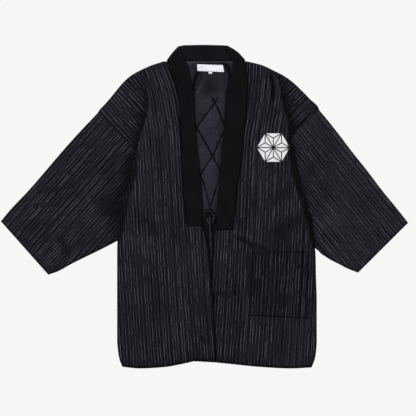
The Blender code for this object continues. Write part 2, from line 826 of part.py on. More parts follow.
def rectangle(left, right, bottom, top, slant=0.0, steps=4):
    """The outline of a four-sided piece, its bottom edge falling to the right by slant."""
    corners = ((left, bottom + slant), (right, bottom - slant), (right, top), (left, top))
    outline = []
    for (x0, y0), (x1, y1) in zip(corners, corners[1:] + corners[:1]):
        outline += [(between(x0, x1, i / steps), between(y0, y1, i / steps)) for i in range(steps)]
    return outline


def pocket():
    """The patch pocket, on the right front."""
    sizes = POCKET
    outline = rectangle(sizes["left"], sizes["right"], sizes["bottom"], sizes["top"], sizes["slant"])
    base = max(front_top(x, y) for x, y in outline) + 1.3 * SEAM
    return slab(outline, base, POCKET_WALL, 0.002)


def label():
    """The woven label at the back of the neck, left blank."""
    outline = rectangle(LABEL["left"], LABEL["right"], LABEL["bottom"], LABEL["top"])
    return slab(outline, LINING_TOP + SEAM, LABEL_WALL, 0.0004)


def label_tab():
    """The small tab below the label, left blank."""
    top = LABEL["bottom"] - SEAM
    outline = rectangle(LABEL_TAB["left"], LABEL_TAB["right"], LABEL_TAB["bottom"], top, steps=2)
    return slab(outline, LINING_TOP + 2 * SEAM, LABEL_WALL, 0.0004)


def smooth_route(steps, parts=3):
    """Points on a smooth curve through a tie's route."""
    made = []
    for i in range(len(steps) - 1):
        before, after = steps[max(i - 1, 0)], steps[min(i + 2, len(steps) - 1)]
        for k in range(parts):
            t = k / parts
            point = []
            for p0, p1, p2, p3 in zip(before, steps[i], steps[i + 1], after):
                bend = 2 * p0 - 5 * p1 + 4 * p2 - p3
                point.append(p1 + 0.5 * t * (p2 - p0 + t * (bend + t * (3 * (p1 - p2) + p3 - p0))))
            made.append(tuple(point))
    made.append(tuple(steps[-1]))
    return made


def tie(side):
    """One tie: a narrow strip of the shell's cloth along its route."""
    route = smooth_route(TIES[side])
    profile = ((-0.5, 0.0), (-0.32, 0.5), (0.32, 0.5), (0.5, 0.0), (0.32, -0.5), (-0.32, -0.5))
    rings = []
    for i, (x, y, z) in enumerate(route):
        ahead, behind = route[min(i + 1, len(route) - 1)], route[max(i - 1, 0)]
        along = (ahead[0] - behind[0], ahead[1] - behind[1])
        span = math.hypot(*along)
        across = (-along[1] / span, along[0] / span)
        rings.append([
            (x + across[0] * a * TIE_WIDTH, y + across[1] * a * TIE_WIDTH, z + up * TIE_WALL)
            for a, up in profile
        ])
    return loft(rings)


def main():
    """Builds the coat's pieces in a collection of its own."""
    for old in list(bpy.data.objects):
        bpy.data.objects.remove(old, do_unlink=True)
    coat = bpy.data.collections.new("padded_hanten_coat")
    bpy.context.scene.collection.children.link(coat)
    shell = material("shell_cloth", SHELL, 0.9)
    plain = material("band_cloth", BAND, 0.85)
    satin = material("lining_satin", SATIN, 0.45)
    white = material("label_white", WHITE, 0.7)
    pieces = (
        ("back", back(), shell),
        ("front_left", front("left"), shell),
        ("front_right", front("right"), shell),
        ("sleeve_left", sleeve("left"), shell),
        ("sleeve_right", sleeve("right"), shell),
        ("collar_band", band(), plain),
        ("lining", lining(), satin),
        ("pocket", pocket(), shell),
        ("label", label(), white),
        ("label_tab", label_tab(), white),
        ("tie_left", tie("left"), shell),
        ("tie_right", tie("right"), shell),
    )
    for name, body, finish in pieces:
        add_object(name, body, finish, coat)


main()
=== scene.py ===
"""The looks of a padded hanten laid flat on its back.

Wadded cloth with broken rain stripes, a plain black collar band, a quilted satin lining, a
patch pocket, a blank label and two knotted ties, each built as a fine mesh on its solid.

Metres, +Z up, the floor at z = 0. +Y runs from the hem to the collar. Left and right are
those of someone looking down at the coat.
"""

import logging
import math
from dataclasses import dataclass
from enum import Enum
from typing import Callable, Mapping, NamedTuple, Sequence, Union

import bpy
import numpy as np
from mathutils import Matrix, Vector

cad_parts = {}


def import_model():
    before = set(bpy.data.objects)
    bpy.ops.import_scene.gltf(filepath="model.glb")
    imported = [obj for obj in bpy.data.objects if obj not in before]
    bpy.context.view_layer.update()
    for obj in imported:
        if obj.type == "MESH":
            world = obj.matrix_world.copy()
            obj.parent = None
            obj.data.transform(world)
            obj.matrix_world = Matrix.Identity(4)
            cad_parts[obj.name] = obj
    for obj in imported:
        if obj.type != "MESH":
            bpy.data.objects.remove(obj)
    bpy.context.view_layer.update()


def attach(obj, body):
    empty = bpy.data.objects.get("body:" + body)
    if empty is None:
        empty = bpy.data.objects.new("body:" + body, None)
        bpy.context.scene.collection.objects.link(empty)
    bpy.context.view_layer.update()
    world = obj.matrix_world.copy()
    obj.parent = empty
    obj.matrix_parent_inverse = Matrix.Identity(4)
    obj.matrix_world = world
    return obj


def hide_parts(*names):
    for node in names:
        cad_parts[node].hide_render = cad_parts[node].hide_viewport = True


log = logging.getLogger("hanten")

Array = np.ndarray
Number = Union[float, Array]
Material = bpy.types.Material
Thing = bpy.types.Object

# Driving sizes, as in the solids.
WIDTH = 1.096
LENGTH = 0.870
PAD = 0.007
SEAM = 0.0003
LIP = 0.0012
ROUND = 0.008
NECK_Y = 0.3905
HEM_Y = -LENGTH / 2
LINING_HEAD = 0.3917
HEM_FADE = 0.20
SHOULDER_Y = 0.32

# The lining, and how high its quilting stands in the open and under the fronts.
LINING_WALL = 0.0025
LINING_FOOT = -0.200
QUILT = 0.0034
QUILT_COVERED = 0.0019
QUILT_PITCH = 0.062
QUILT_END = (0.262, 0.312)
QUILT_SEEN = (0.291, 0.301)
QUILT_TIE = (-0.055, -0.035)

# The collar band and its turns at the shoulders.
BAND_WALL = 0.0042
BAND_WIDTH = 0.041
BAND_TURN = 0.0048
BAND_RISE = 0.012
BAND_OUT = {-1: (0.0062, 0.0004, 0.0015), 1: (0.0070, 0.0006, 0.0045)}
BAND_CORNER = 0.0060
NECK_SEAM_RISE = 0.0008

# The fronts' folds, the seams beside them and the sleeves' openings.
FOLD_BULGE = 0.0015
VALLEY = 0.0024
UNDERCUT = 0.0022
SEAM_DIP = 0.74
SEAM_LEAN = 0.0009
BACK_SHORT = 0.006
SLIT = 0.0006
SLIT_INSET = 0.006
PRESSED = 0.0066
PRESS_REACH = 0.030

# How high the layers lie.
ON_BACK = PAD + SEAM
LINING_TOP = ON_BACK + LINING_WALL
BAND_BASE = LINING_TOP + 0.0020 + SEAM
LINING_RISE = LINING_WALL + 2 * SEAM

# The small pieces.
POCKET_WALL = 0.0025
POCKET_CORNERS = ((0.1155, -0.2910), (0.2765, -0.2990), (0.2770, -0.1190), (0.1150, -0.1190))
LABEL_WALL = 0.0009
TIE_WIDTH = 0.007
TIE_WALL = 0.003
ON_LINING = BAND_BASE + TIE_WALL / 2
OVER_LOOP = ON_LINING + TIE_WALL + SEAM
IN_OPENING = LINING_TOP + 1.3 * SEAM + TIE_WALL / 2


class Side(Enum):
    """The coat's left or right, and the sign of x there."""

    LEFT = -1
    RIGHT = 1

    @property
    def word(self) -> str:
        """The side's name in the names of pieces."""
        return self.name.lower()


# Numbers and tables.


def between(low: Number, high: Number, share: Number) -> Number:
    """The value at this share of the way from low to high."""
    return low + (high - low) * share


def smooth(start: float, end: float, value: Number) -> Number:
    """0 before start and 1 after end, with a soft rise between them."""
    share = np.clip((value - start) / (end - start), 0.0, 1.0)
    return share * share * (3 - 2 * share)


def crown(inset: Number, reach: float = ROUND) -> Number:
    """The height, from 0 to 1, of a quarter-round edge this far in from its rim."""
    share = np.clip(inset / reach, 0.0, 1.0)
    return np.sqrt(1 - (1 - share) ** 2)


def bell(away: Number, reach: float) -> Number:
    """1 at no distance, and next to nothing at twice the reach."""
    return np.exp(-((away / reach) ** 2))


def flowing(at: Number, places: Array, values: Array) -> Array:
    """Reads values on a smooth line through them that never overshoots.

    Args:
        at: Where to read.
        places: Where the values are, in rising order.
        values: The values, one for each place.

    Returns:
        The values at those places, held level beyond the first and the last.
    """
    at = np.asarray(at, float)
    step = np.diff(places)
    rise = np.diff(values) / step
    slope = np.zeros(len(values))
    same = rise[:-1] * rise[1:] > 0
    before, after = 2 * step[1:] + step[:-1], step[1:] + 2 * step[:-1]
    safe = np.where(same, rise[:-1], 1.0), np.where(same, rise[1:], 1.0)
    slope[1:-1] = np.where(same, (before + after) / (before / safe[0] + after / safe[1]), 0.0)
    slope[0], slope[-1] = rise[0], rise[-1]
    i = np.clip(np.searchsorted(places, at) - 1, 0, len(step) - 1)
    t = np.clip((at - places[i]) / step[i], 0.0, 1.0)
    start, end = values[i], values[i + 1]
    lean, pull = slope[i] * step[i], slope[i + 1] * step[i]
    return (
        start * (1 + 2 * t) * (1 - t) ** 2
        + lean * t * (1 - t) ** 2
        + end * t * t * (3 - 2 * t)
        + pull * t * t * (t - 1)
    )


class Table:
    """A short table of sizes with named columns, read on smooth lines between its rows."""

    def __init__(self, columns: str, *rows: tuple[float, ...]) -> None:
        """Sorts the rows by their first column.

        Args:
            columns: The columns' names, with spaces between them.
            rows: The sizes, one tuple for each row. Zeros at its end can be left out.
        """
        names = columns.split()
        sizes = np.array([(*row, *[0.0] * (len(names) - len(row))) for row in sorted(rows)])
        self.key = names[0]
        self.columns = {name: sizes[:, i] for i, name in enumerate(names)}

    def read(self, column: str, at: Number) -> Array:
        """The column's value where the first column has this value."""
        return flowing(at, self.columns[self.key], self.columns[column])

    @property
    def places(self) -> Array:
        """The first column."""
        return self.columns[self.key]


SIDES = {
    Side.LEFT: Table(
        "y rim fold depth loose",
        (0.3905, -0.111, -0.1065),
        (0.381, -0.140, -0.126),
        (0.368, -0.170, -0.145),
        (0.352, -0.198, -0.160, 0.05),
        (0.333, -0.219, -0.160, 0.25),
        (0.314, -0.235, -0.156, 0.50),
        (0.292, -0.253, -0.152, 0.75),
        (0.271, -0.2715, -0.151, 1.0),
        (0.257, -0.2835, -0.153, 1.0),
        (0.243, -0.271, -0.156, 1.0),
        (0.219, -0.2485, -0.163, 1.0),
        (0.195, -0.226, -0.170, 1.0),
        (0.173, -0.204, -0.177, 1.0),
        (0.160, -0.1905, -0.1805, 1.0),
        (0.152, -0.181, -0.1825, 1.0, 1.0),
        (0.111, -0.184, -0.194, 1.0, 1.0),
        (0.063, -0.192, -0.204, 1.0, 1.0),
        (0.025, -0.204, -0.217, 1.0, 1.0),
        (-0.016, -0.213, -0.227, 1.0, 1.0),
        (-0.053, -0.219, -0.230, 1.0, 1.0),
        (-0.094, -0.231, -0.234, 0.6, 0.6),
        (-0.118, -0.235, -0.235),
        (-0.186, -0.235, -0.235),
        (-0.307, -0.235, -0.235),
        (-0.361, -0.235, -0.235),
        (-0.394, -0.2325, -0.2325),
        (-0.415, -0.229, -0.229),
        (-0.435, -0.221, -0.221),
    ),
    Side.RIGHT: Table(
        "y rim fold depth loose",
        (0.3905, 0.1165, 0.1135),
        (0.381, 0.154, 0.142),
        (0.368, 0.182, 0.165),
        (0.352, 0.213, 0.190, 0.05),
        (0.333, 0.239, 0.202, 0.25),
        (0.314, 0.259, 0.205, 0.50),
        (0.292, 0.2805, 0.208, 0.75),
        (0.263, 0.3065, 0.213, 1.0),
        (0.246, 0.290, 0.2195, 1.0),
        (0.219, 0.261, 0.227, 1.0),
        (0.198, 0.2395, 0.2285, 1.0),
        (0.188, 0.2275, 0.2305, 1.0, 1.0),
        (0.152, 0.226, 0.238, 1.0, 1.0),
        (0.111, 0.234, 0.247, 1.0, 1.0),
        (0.063, 0.244, 0.257, 1.0, 1.0),
        (0.025, 0.257, 0.269, 1.0, 1.0),
        (-0.016, 0.270, 0.283, 1.0, 1.0),
        (-0.053, 0.281, 0.2905, 1.0, 1.0),
        (-0.094, 0.289, 0.295, 1.0, 1.0),
        (-0.118, 0.296, 0.298, 0.1, 0.6),
        (-0.135, 0.299, 0.299),
        (-0.186, 0.300, 0.300),
        (-0.253, 0.302, 0.302),
        (-0.361, 0.302, 0.302),
        (-0.394, 0.300, 0.300),
        (-0.415, 0.296, 0.296),
        (-0.435, 0.288, 0.288),
    ),
}

# The collar band's straight lines, each from its seam to its free edge.
RULINGS = {
    Side.LEFT: Table(
        "y seam_x free_x free_y",
        (-0.052, -0.044, -0.004, -0.052),
        (-0.016, -0.049, -0.003, -0.016),
        (0.025, -0.0545, -0.0055, 0.025),
        (0.063, -0.0572, -0.0095, 0.064),
        (0.111, -0.0595, -0.0145, 0.113),
        (0.152, -0.0613, -0.020, 0.156),
        (0.195, -0.0625, -0.0235, 0.201),
        (0.246, -0.0645, -0.0265, 0.256),
        (0.292, -0.070, -0.0285, 0.302),
        (0.314, -0.074, -0.032, 0.322),
        (0.333, -0.078, -0.0355, 0.340),
        (0.352, -0.0855, -0.039, 0.358),
        (0.368, -0.092, -0.046, 0.383),
        (0.391, -0.0944, -0.0666, 0.4262),
    ),
    Side.RIGHT: Table(
        "y seam_x free_x free_y",
        (-0.062, 0.078, 0.031, -0.060),
        (-0.016, 0.0825, 0.033, -0.016),
        (0.025, 0.0845, 0.036, 0.025),
        (0.063, 0.0895, 0.040, 0.063),
        (0.111, 0.0965, 0.044, 0.110),
        (0.152, 0.103, 0.047, 0.150),
        (0.198, 0.1065, 0.053, 0.195),
        (0.246, 0.1105, 0.059, 0.243),
        (0.292, 0.1137, 0.0615, 0.290),
        (0.314, 0.115, 0.0645, 0.315),
        (0.333, 0.1155, 0.068, 0.337),
        (0.352, 0.1145, 0.073, 0.360),
        (0.368, 0.112, 0.076, 0.386),
        (0.391, 0.1023, 0.0576, 0.4277),
    ),
}
BELOW_BAND = {Side.LEFT: -0.040, Side.RIGHT: 0.082}
FREE_TOP_Y = LENGTH / 2

# The front opening's edges below the band.
EDGES = {
    Side.LEFT: Table(
        "y x",
        (-0.053, -0.004), (-0.080, 0.003), (-0.107, 0.008), (-0.140, 0.013), (-0.172, 0.017),
        (-0.210, 0.0193), (-0.253, 0.0235), (-0.307, 0.0255), (-0.361, 0.0282), (-0.435, 0.0305),
    ),
    Side.RIGHT: Table(
        "y x",
        (-0.0635, 0.031), (-0.107, 0.026), (-0.140, 0.0235), (-0.172, 0.0215), (-0.210, 0.0208),
        (-0.253, 0.0250), (-0.307, 0.0270), (-0.361, 0.0297), (-0.435, 0.0320),
    ),
}

# A sleeve's sections from its shoulder edge to its underside, counted from the cuff.
SLEEVES = {
    Side.LEFT: Table(
        "place top_x top_y under_x under_y bend",
        (0, -WIDTH / 2, -0.039, -0.420, -0.183),
        (1, -0.524, -0.010, -0.397, -0.175),
        (2, -0.473, 0.044, -0.356, -0.153),
        (3, -0.427, 0.097, -0.322, -0.136, 0.10),
        (4, -0.381, 0.151, -0.293, -0.122, 0.30),
        (5, -0.337, 0.200, -0.267, -0.109, 0.60),
    ),
    Side.RIGHT: Table(
        "place top_x top_y under_x under_y bend",
        (0, WIDTH / 2, -0.043, 0.413, -0.1775),
        (1, 0.518, -0.005, 0.384, -0.166),
        (2, 0.478, 0.044, 0.361, -0.154),
        (3, 0.437, 0.098, 0.341, -0.144, 0.10),
        (4, 0.394, 0.152, 0.325, -0.134, 0.30),
        (5, 0.363, 0.193, 0.313, -0.126, 0.60),
    ),
}
ARMHOLE = {Side.LEFT: (0.257, -0.090), Side.RIGHT: (0.263, -0.108)}
LAP_START = {Side.LEFT: 0.152, Side.RIGHT: 0.188}
SLEEVE_FALL = {Side.LEFT: (1.08, 0.50), Side.RIGHT: (1.20, 0.80)}

HEM = Table(
    "x lift",
    (-0.230, 0.006), (-0.200, 0.002), (-0.173, 0.0), (-0.105, 0.004), (-0.051, 0.014),
    (-0.008, 0.022), (0.022, 0.017), (0.070, 0.012), (0.151, 0.004), (0.232, 0.0), (0.292, 0.003),
)


# Soft forms.


class Crease(NamedTuple):
    """A soft trough along a line on a panel, or a ridge where its depth is below 0."""

    x0: float
    y0: float
    x1: float
    y1: float
    width: float
    depth: float


def creased(creases: Sequence[Crease], x: Array, y: Array) -> Array:
    """How far a panel's creases raise or sink its face.

    Args:
        creases: The creases on it.
        x: Where to read them.
        y: Where to read them.

    Returns:
        The height that they add, in metres.
    """
    height = np.zeros(np.broadcast(x, y).shape)
    for crease in creases:
        run = np.array((crease.x1 - crease.x0, crease.y1 - crease.y0))
        long = np.hypot(*run)
        ahead = ((x - crease.x0) * run[0] + (y - crease.y0) * run[1]) / long**2
        aside = ((x - crease.x0) * -run[1] + (y - crease.y0) * run[0]) / long
        aside = aside - 0.06 * long * np.sin(math.pi * np.clip(ahead, 0, 1))
        fade = smooth(-0.15, 0.25, ahead) * (1 - smooth(0.70, 1.15, ahead))
        height -= crease.depth * fade * bell(aside, crease.width)
    return height


class Lumps:
    """The wadding's low swells: soft waves in many directions, the same each time."""

    def __init__(self, seed: int, height: float, shortest: float, longest: float) -> None:
        """Draws the waves.

        Args:
            seed: The draw's own number.
            height: How far they rise and fall together, about.
            shortest: The shortest wave, crest to crest.
            longest: The longest wave.
        """
        count = 20
        draw = np.random.default_rng(seed)
        length = np.exp(draw.uniform(math.log(shortest), math.log(longest), count))
        angle = draw.uniform(0, math.pi, count)
        self.run = 2 * math.pi / length
        self.east, self.north = np.cos(angle), np.sin(angle)
        self.start = draw.uniform(0, 2 * math.pi, count)
        share = length / length.sum()
        self.height = height * share * 2.2

    def at(self, x: Array, y: Array) -> Array:
        """The height that the swells add at these places.

        Args:
            x: Places across the coat.
            y: Places up the coat.

        Returns:
            The height in metres.
        """
        total = np.zeros(np.broadcast(x, y).shape)
        for run, east, north, start, height in zip(
            self.run, self.east, self.north, self.start, self.height
        ):
            total += height * np.cos(run * (east * x + north * y) + start)
        return total


class Dark(NamedTuple):
    """How dark the painted shade at an edge is, and how far that reaches."""

    share: float
    reach: float

    def at(self, away: Number) -> Number:
        """How dark it is this far from the edge."""
        return self.share * bell(away, self.reach)


class Dim(NamedTuple):
    """A soft patch of painted shade: its middle, how far it reaches across and up, and how dark it is.
    """

    x: float
    y: float
    wide: float
    tall: float
    share: float

    def at(self, x: Number, y: Number) -> Number:
        """How dark it is at these places."""
        return self.share * bell(x - self.x, self.wide) * bell(y - self.y, self.tall)


class FoldShadow(NamedTuple):
    """The shadow beside a fold: how dark and how wide its core is, and then its soft part."""

    dark: float
    near: float
    soft: float
    wide: float

    def at(self, away: Array) -> Array:
        """How dark it is this far from the fold."""
        return self.dark * bell(away, self.near) + self.soft * np.exp(-away / self.wide)


# Meshes.


def drawn(knots: Array, parts: int) -> Array:
    """More points on a smooth line through a few knots, the knots among them.

    Args:
        knots: The knots, one in each row.
        parts: How many steps lie between one knot and the next.

    Returns:
        The line's points.
    """
    spans = np.linalg.norm(np.diff(knots, axis=0), axis=1)
    along = np.concatenate(([0.0], np.cumsum(np.maximum(spans, 1e-7))))
    steps = np.linspace(0, len(knots) - 1, (len(knots) - 1) * parts + 1)
    at = np.interp(steps, np.arange(len(knots)), along)
    return np.stack([flowing(at, along, knots[:, i]) for i in range(knots.shape[1])], 1)


def wound(knots: Array, parts: int) -> Array:
    """More points on a round curve through a few knots, the knots among them.

    Args:
        knots: The knots, one in each row.
        parts: How many steps lie between one knot and the next.

    Returns:
        The curve's points.
    """
    padded = np.concatenate((knots[:1], knots, knots[-1:]))
    made = []
    for p0, p1, p2, p3 in zip(padded, padded[1:], padded[2:], padded[3:]):
        for t in np.arange(parts) / parts:
            bend = 2 * p0 - 5 * p1 + 4 * p2 - p3
            made.append(p1 + 0.5 * t * (p2 - p0 + t * (bend + t * (3 * (p1 - p2) + p3 - p0))))
    return np.array([*made, knots[-1]])


def along_line(points: Array) -> Array:
    """How far along a line each of its points is."""
    return np.concatenate(([0.0], np.cumsum(np.linalg.norm(np.diff(points, axis=0), axis=1))))


def row_places(low: float, high: float, step: float, edges: Sequence[float]) -> Array:
    """Places from low to high, close together at both ends.

    Args:
        low: The first place.
        high: The last place.
        step: How far apart they are in the middle.
        edges: How far in from each end the close ones are.

    Returns:
        The places, rising.
    """
    inner = edges[-1]
    count = max(int(round((high - low - 2 * inner) / step)), 2)
    middle = np.linspace(low + inner, high - inner, count + 1)[1:-1]
    return np.concatenate((low + np.array(edges), middle, high - np.array(edges)[::-1]))


HEM_EDGE = (0.0, 0.0004, 0.0012, 0.0025, 0.0045, 0.0075)


def skin(rings: Array, capped: bool = True) -> list[tuple[int, ...]]:
    """The faces of a closed surface through rings of points.

    Args:
        rings: The points, by ring, place in the ring and axis.
        capped: Whether a face closes each end.

    Returns:
        The corners of each face.
    """
    count, around = rings.shape[:2]
    near = np.arange(around)
    beyond = np.roll(near, -1)
    first = np.arange(count - 1)[:, None] * around
    corners = (first + near, first + beyond, first + around + beyond, first + around + near)
    made = [tuple(face) for face in np.stack(corners, -1).reshape(-1, 4).tolist()]
    if capped:
        made += [tuple(range(around)), tuple(range((count - 1) * around, count * around))]
    return made


SHARP = math.radians(60)


def make_piece(
    name: str, points: Array, faces: Sequence[Sequence[int]], finish: Material,
    warp: Array | None = None, seed: float = 0.0, shade: Array | None = None,
) -> Thing:
    """Turns points and faces into an object that lies where the coat is.

    Args:
        name: The piece's name.
        points: Its points.
        faces: The corners of its faces.
        finish: Its material.
        warp: Across and along the cloth at each point.
        seed: A number of its own, so that no two pieces have the same stripes.
        shade: How dark the painted shade makes the cloth at each point.

    Returns:
        The object.
    """
    mesh = bpy.data.meshes.new(name)
    mesh.from_pydata(points.reshape(-1, 3).tolist(), [], faces)
    mesh.validate()
    mesh.shade_smooth()
    mesh.set_sharp_from_angle(angle=SHARP)
    if warp is not None:
        places = np.concatenate((warp.reshape(-1, 2), np.full((warp.size // 2, 1), seed)), 1)
        layer = mesh.attributes.new("warp", "FLOAT_VECTOR", "POINT")
        layer.data.foreach_set("vector", places.astype(np.float32).ravel())
    if shade is not None:
        layer = mesh.attributes.new("shade", "FLOAT", "POINT")
        layer.data.foreach_set("value", np.clip(shade, -0.6, 1.0).astype(np.float32).ravel())
    mesh.materials.append(finish)
    made = bpy.data.objects.new(name, mesh)
    bpy.context.scene.collection.objects.link(made)
    turn_faces_out(made)
    log.info("%s: %d faces", name, len(mesh.polygons))
    return made


def laid(piece: Thing, node: str = "") -> Thing:
    """Gives a piece to the coat's one body, and hides the solid that it stands for.

    Args:
        piece: The piece.
        node: The solid that it stands for, if any.

    Returns:
        The same piece.
    """
    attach(piece, "root")
    if node:
        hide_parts(node)
    return piece


def turn_faces_out(piece: Thing) -> None:
    """Turns all the faces of a closed piece outward, by the sign of its volume.

    Args:
        piece: The piece.
    """
    mesh = piece.data
    mesh.calc_loop_triangles()
    count = len(mesh.loop_triangles)
    corners = np.zeros(count * 3, np.int32)
    mesh.loop_triangles.foreach_get("vertices", corners)
    points = np.zeros(len(mesh.vertices) * 3, np.float32)
    mesh.vertices.foreach_get("co", points)
    a, b, c = points.reshape(-1, 3)[corners.reshape(-1, 3)].astype(float).transpose(1, 0, 2)
    if (a * np.cross(b, c)).sum() < 0:
        mesh.flip_normals()


# The body panels.


def hem_lift(x: Number, y: Number) -> Array:
    """How far a point is drawn up by the waves of the hem."""
    return HEM.read("lift", x) * (1 - smooth(HEM_Y, HEM_Y + HEM_FADE, y))


def lining_rise(x: Number, y: Number) -> Array:
    """How far the fronts are lifted where the lining's lower end lies under them.

    Args:
        x: Places across the coat.
        y: Places up the coat.

    Returns:
        The lift in metres.
    """
    across = 1 - smooth(0.062, 0.083, np.abs(np.asarray(x) - 0.018))
    along = smooth(-0.290, -0.215, y) * (1 - smooth(-0.040, 0.030, y))
    return LINING_RISE * across * along


def seam_line(side: Side, y: Number) -> Array:
    """The band's seam line, and its run down to the hem below the band.

    Args:
        side: Which front.
        y: Places up the coat.

    Returns:
        The line's place across.
    """
    table = RULINGS[side]
    bottom = table.places[0]
    share = (y - HEM_Y) / (bottom - HEM_Y)
    below = between(BELOW_BAND[side], table.read("seam_x", bottom), share)
    return np.where(y >= bottom, table.read("seam_x", y), below)


CREASES = {
    Side.LEFT: (
        Crease(-0.150, 0.330, -0.128, 0.250, 0.011, 0.0016),
        Crease(-0.118, 0.345, -0.108, 0.270, 0.010, -0.0012),
        Crease(-0.140, 0.200, -0.120, 0.060, 0.020, 0.0014),
        Crease(-0.205, -0.020, -0.120, -0.070, 0.018, 0.0018),
        Crease(-0.215, -0.075, -0.130, -0.130, 0.020, -0.0015),
        Crease(-0.075, 0.020, -0.090, -0.120, 0.018, 0.0013),
        Crease(-0.150, -0.180, -0.120, -0.330, 0.024, 0.0016),
        Crease(-0.050, -0.230, -0.030, -0.390, 0.020, -0.0014),
        Crease(-0.195, -0.260, -0.180, -0.400, 0.020, 0.0012),
        Crease(-0.235, 0.225, -0.190, 0.190, 0.012, 0.0014),
    ),
    Side.RIGHT: (
        Crease(0.1755, 0.362, 0.1836, 0.276, 0.0056, 0.0046),
        Crease(0.1890, 0.345, 0.1985, 0.256, 0.0058, -0.0030),
        Crease(0.148, 0.330, 0.152, 0.240, 0.010, -0.0016),
        Crease(0.240, 0.060, 0.185, 0.010, 0.016, 0.0016),
        Crease(0.265, -0.020, 0.175, -0.080, 0.018, 0.0018),
        Crease(0.060, -0.0760, 0.097, -0.0865, 0.0065, 0.0018),
        Crease(0.094, -0.083, 0.130, -0.108, 0.0065, 0.0030),
        Crease(0.126, -0.104, 0.172, -0.121, 0.0070, 0.0022),
        Crease(0.088, -0.070, 0.128, -0.096, 0.007, -0.0016),
        Crease(0.095, -0.110, 0.096, -0.300, 0.012, -0.0012),
        Crease(0.120, 0.060, 0.105, -0.060, 0.020, 0.0013),
        Crease(0.070, -0.200, 0.080, -0.360, 0.022, 0.0014),
        Crease(0.200, -0.310, 0.215, -0.410, 0.020, 0.0014),
        Crease(0.262, 0.235, 0.232, 0.205, 0.010, 0.0014),
    ),
}


class Grain(NamedTuple):
    """How the stripes of one front turn toward its drop shoulder."""

    slope: float  # How far the turned stripes go sideways for each metre up.
    start: float  # How far out the turn starts, at the height below.
    end: float  # How far out it ends.
    height: float
    fade: tuple[float, float]  # Between these heights the body's side of the fold stops turning.


GRAIN = {
    Side.LEFT: Grain(-0.916, 0.098, 0.168, 0.335, (0.255, 0.335)),
    Side.RIGHT: Grain(1.018, 0.186, 0.222, 0.350, (0.345, 0.372)),
}

# How far the body's stripes lean sideways at each height.
LEAN = {
    Side.LEFT: Table(
        "y shift",
        (-0.435, 0.026), (-0.200, 0.011), (0.0, 0.0), (0.150, -0.008), (0.200, -0.0115),
        (0.250, -0.0185), (0.300, -0.027), (0.330, -0.036), (0.391, -0.060),
    ),
    Side.RIGHT: Table(
        "y shift",
        (-0.435, -0.024), (-0.200, -0.010), (0.0, 0.0), (0.150, 0.006), (0.200, 0.011),
        (0.250, 0.019), (0.300, 0.026), (0.350, 0.031), (0.391, 0.034),
    ),
}
TURNED_SPACING = 0.66

# How much darker a front lies at each height.
TONE = {
    Side.LEFT: Table(
        "y tone",
        (-0.435, -0.03), (-0.100, -0.09), (0.050, -0.20), (0.250, -0.32), (0.391, -0.12),
    ),
    Side.RIGHT: Table(
        "y tone",
        (-0.435, -0.04), (-0.330, 0.00), (-0.220, 0.18), (-0.090, 0.14), (0.000, -0.05),
        (0.100, -0.12), (0.200, -0.08), (0.280, 0.05), (0.391, -0.04),
    ),
}
SLEEVE_TONE = {Side.LEFT: -0.06, Side.RIGHT: -0.29}

# Painted shade on a front beside its fold, low down beside the opening and above its hem.
FRONT_SHADOW = FoldShadow(0.80, 0.021, 0.44, 0.034)
SUNKEN = Dim(-0.002, -0.310, 0.034, 0.085, 0.26)
HEM_SOFT = 0.024


def front_warp(side: Side, x: Array, y: Array) -> tuple[Array, Array]:
    """Across and along a front's cloth: upright on the body, turned on the drop shoulder.

    Args:
        side: Left or right.
        x: Where to read it.
        y: Where to read it.

    Returns:
        Across and along, in metres.
    """
    sign, grain = side.value, GRAIN[side]
    lean = LEAN[side].read("shift", y)
    swing = grain.slope * (y - grain.height) - (lean - LEAN[side].read("shift", grain.height))
    depth = SIDES[side].read("depth", y)
    beyond = sign * (x - SIDES[side].read("fold", y)) > 0
    shoulder = beyond & (y > LAP_START[side] - 0.004)
    held = np.where(shoulder, depth, 0.0)
    fade = np.where(shoulder, 1.0, smooth(*grain.fade, y))
    across = np.array(x, float)
    turn = np.zeros_like(across)
    for _ in range(14):
        turn = np.maximum(smooth(grain.start, grain.end, sign * across) * fade, held)
        across = x - lean - turn * swing
    share = np.clip((sign * across - grain.start) / (grain.end - grain.start), 0, 1)
    past = np.maximum(sign * across - grain.end, 0.0)
    reach = (grain.end - grain.start) * (share**3 - share**4 / 2) + past
    closed = (1 - TURNED_SPACING) * np.where(shoulder | (fade > 0), reach, 0.0)
    across = across - sign * closed * np.where(shoulder, 1.0, fade)
    return across, y + 0.38 * turn * (y - grain.height)


def turned_warp(x: Array, y: Array, degrees: float) -> tuple[Array, Array]:
    """Across and along a cloth whose stripes run at this angle from the x axis."""
    east, north = math.cos(math.radians(degrees)), math.sin(math.radians(degrees))
    return x * north - y * east, x * east + y * north


def panel_rows(step: float, above: int) -> Array:
    """A body panel's rows, this many of them from the shoulder up to the neck."""
    low = row_places(HEM_Y, SHOULDER_Y, step, HEM_EDGE)[: 1 - len(HEM_EDGE)]
    return np.concatenate((low, np.linspace(SHOULDER_Y, NECK_Y, above)[1:]))


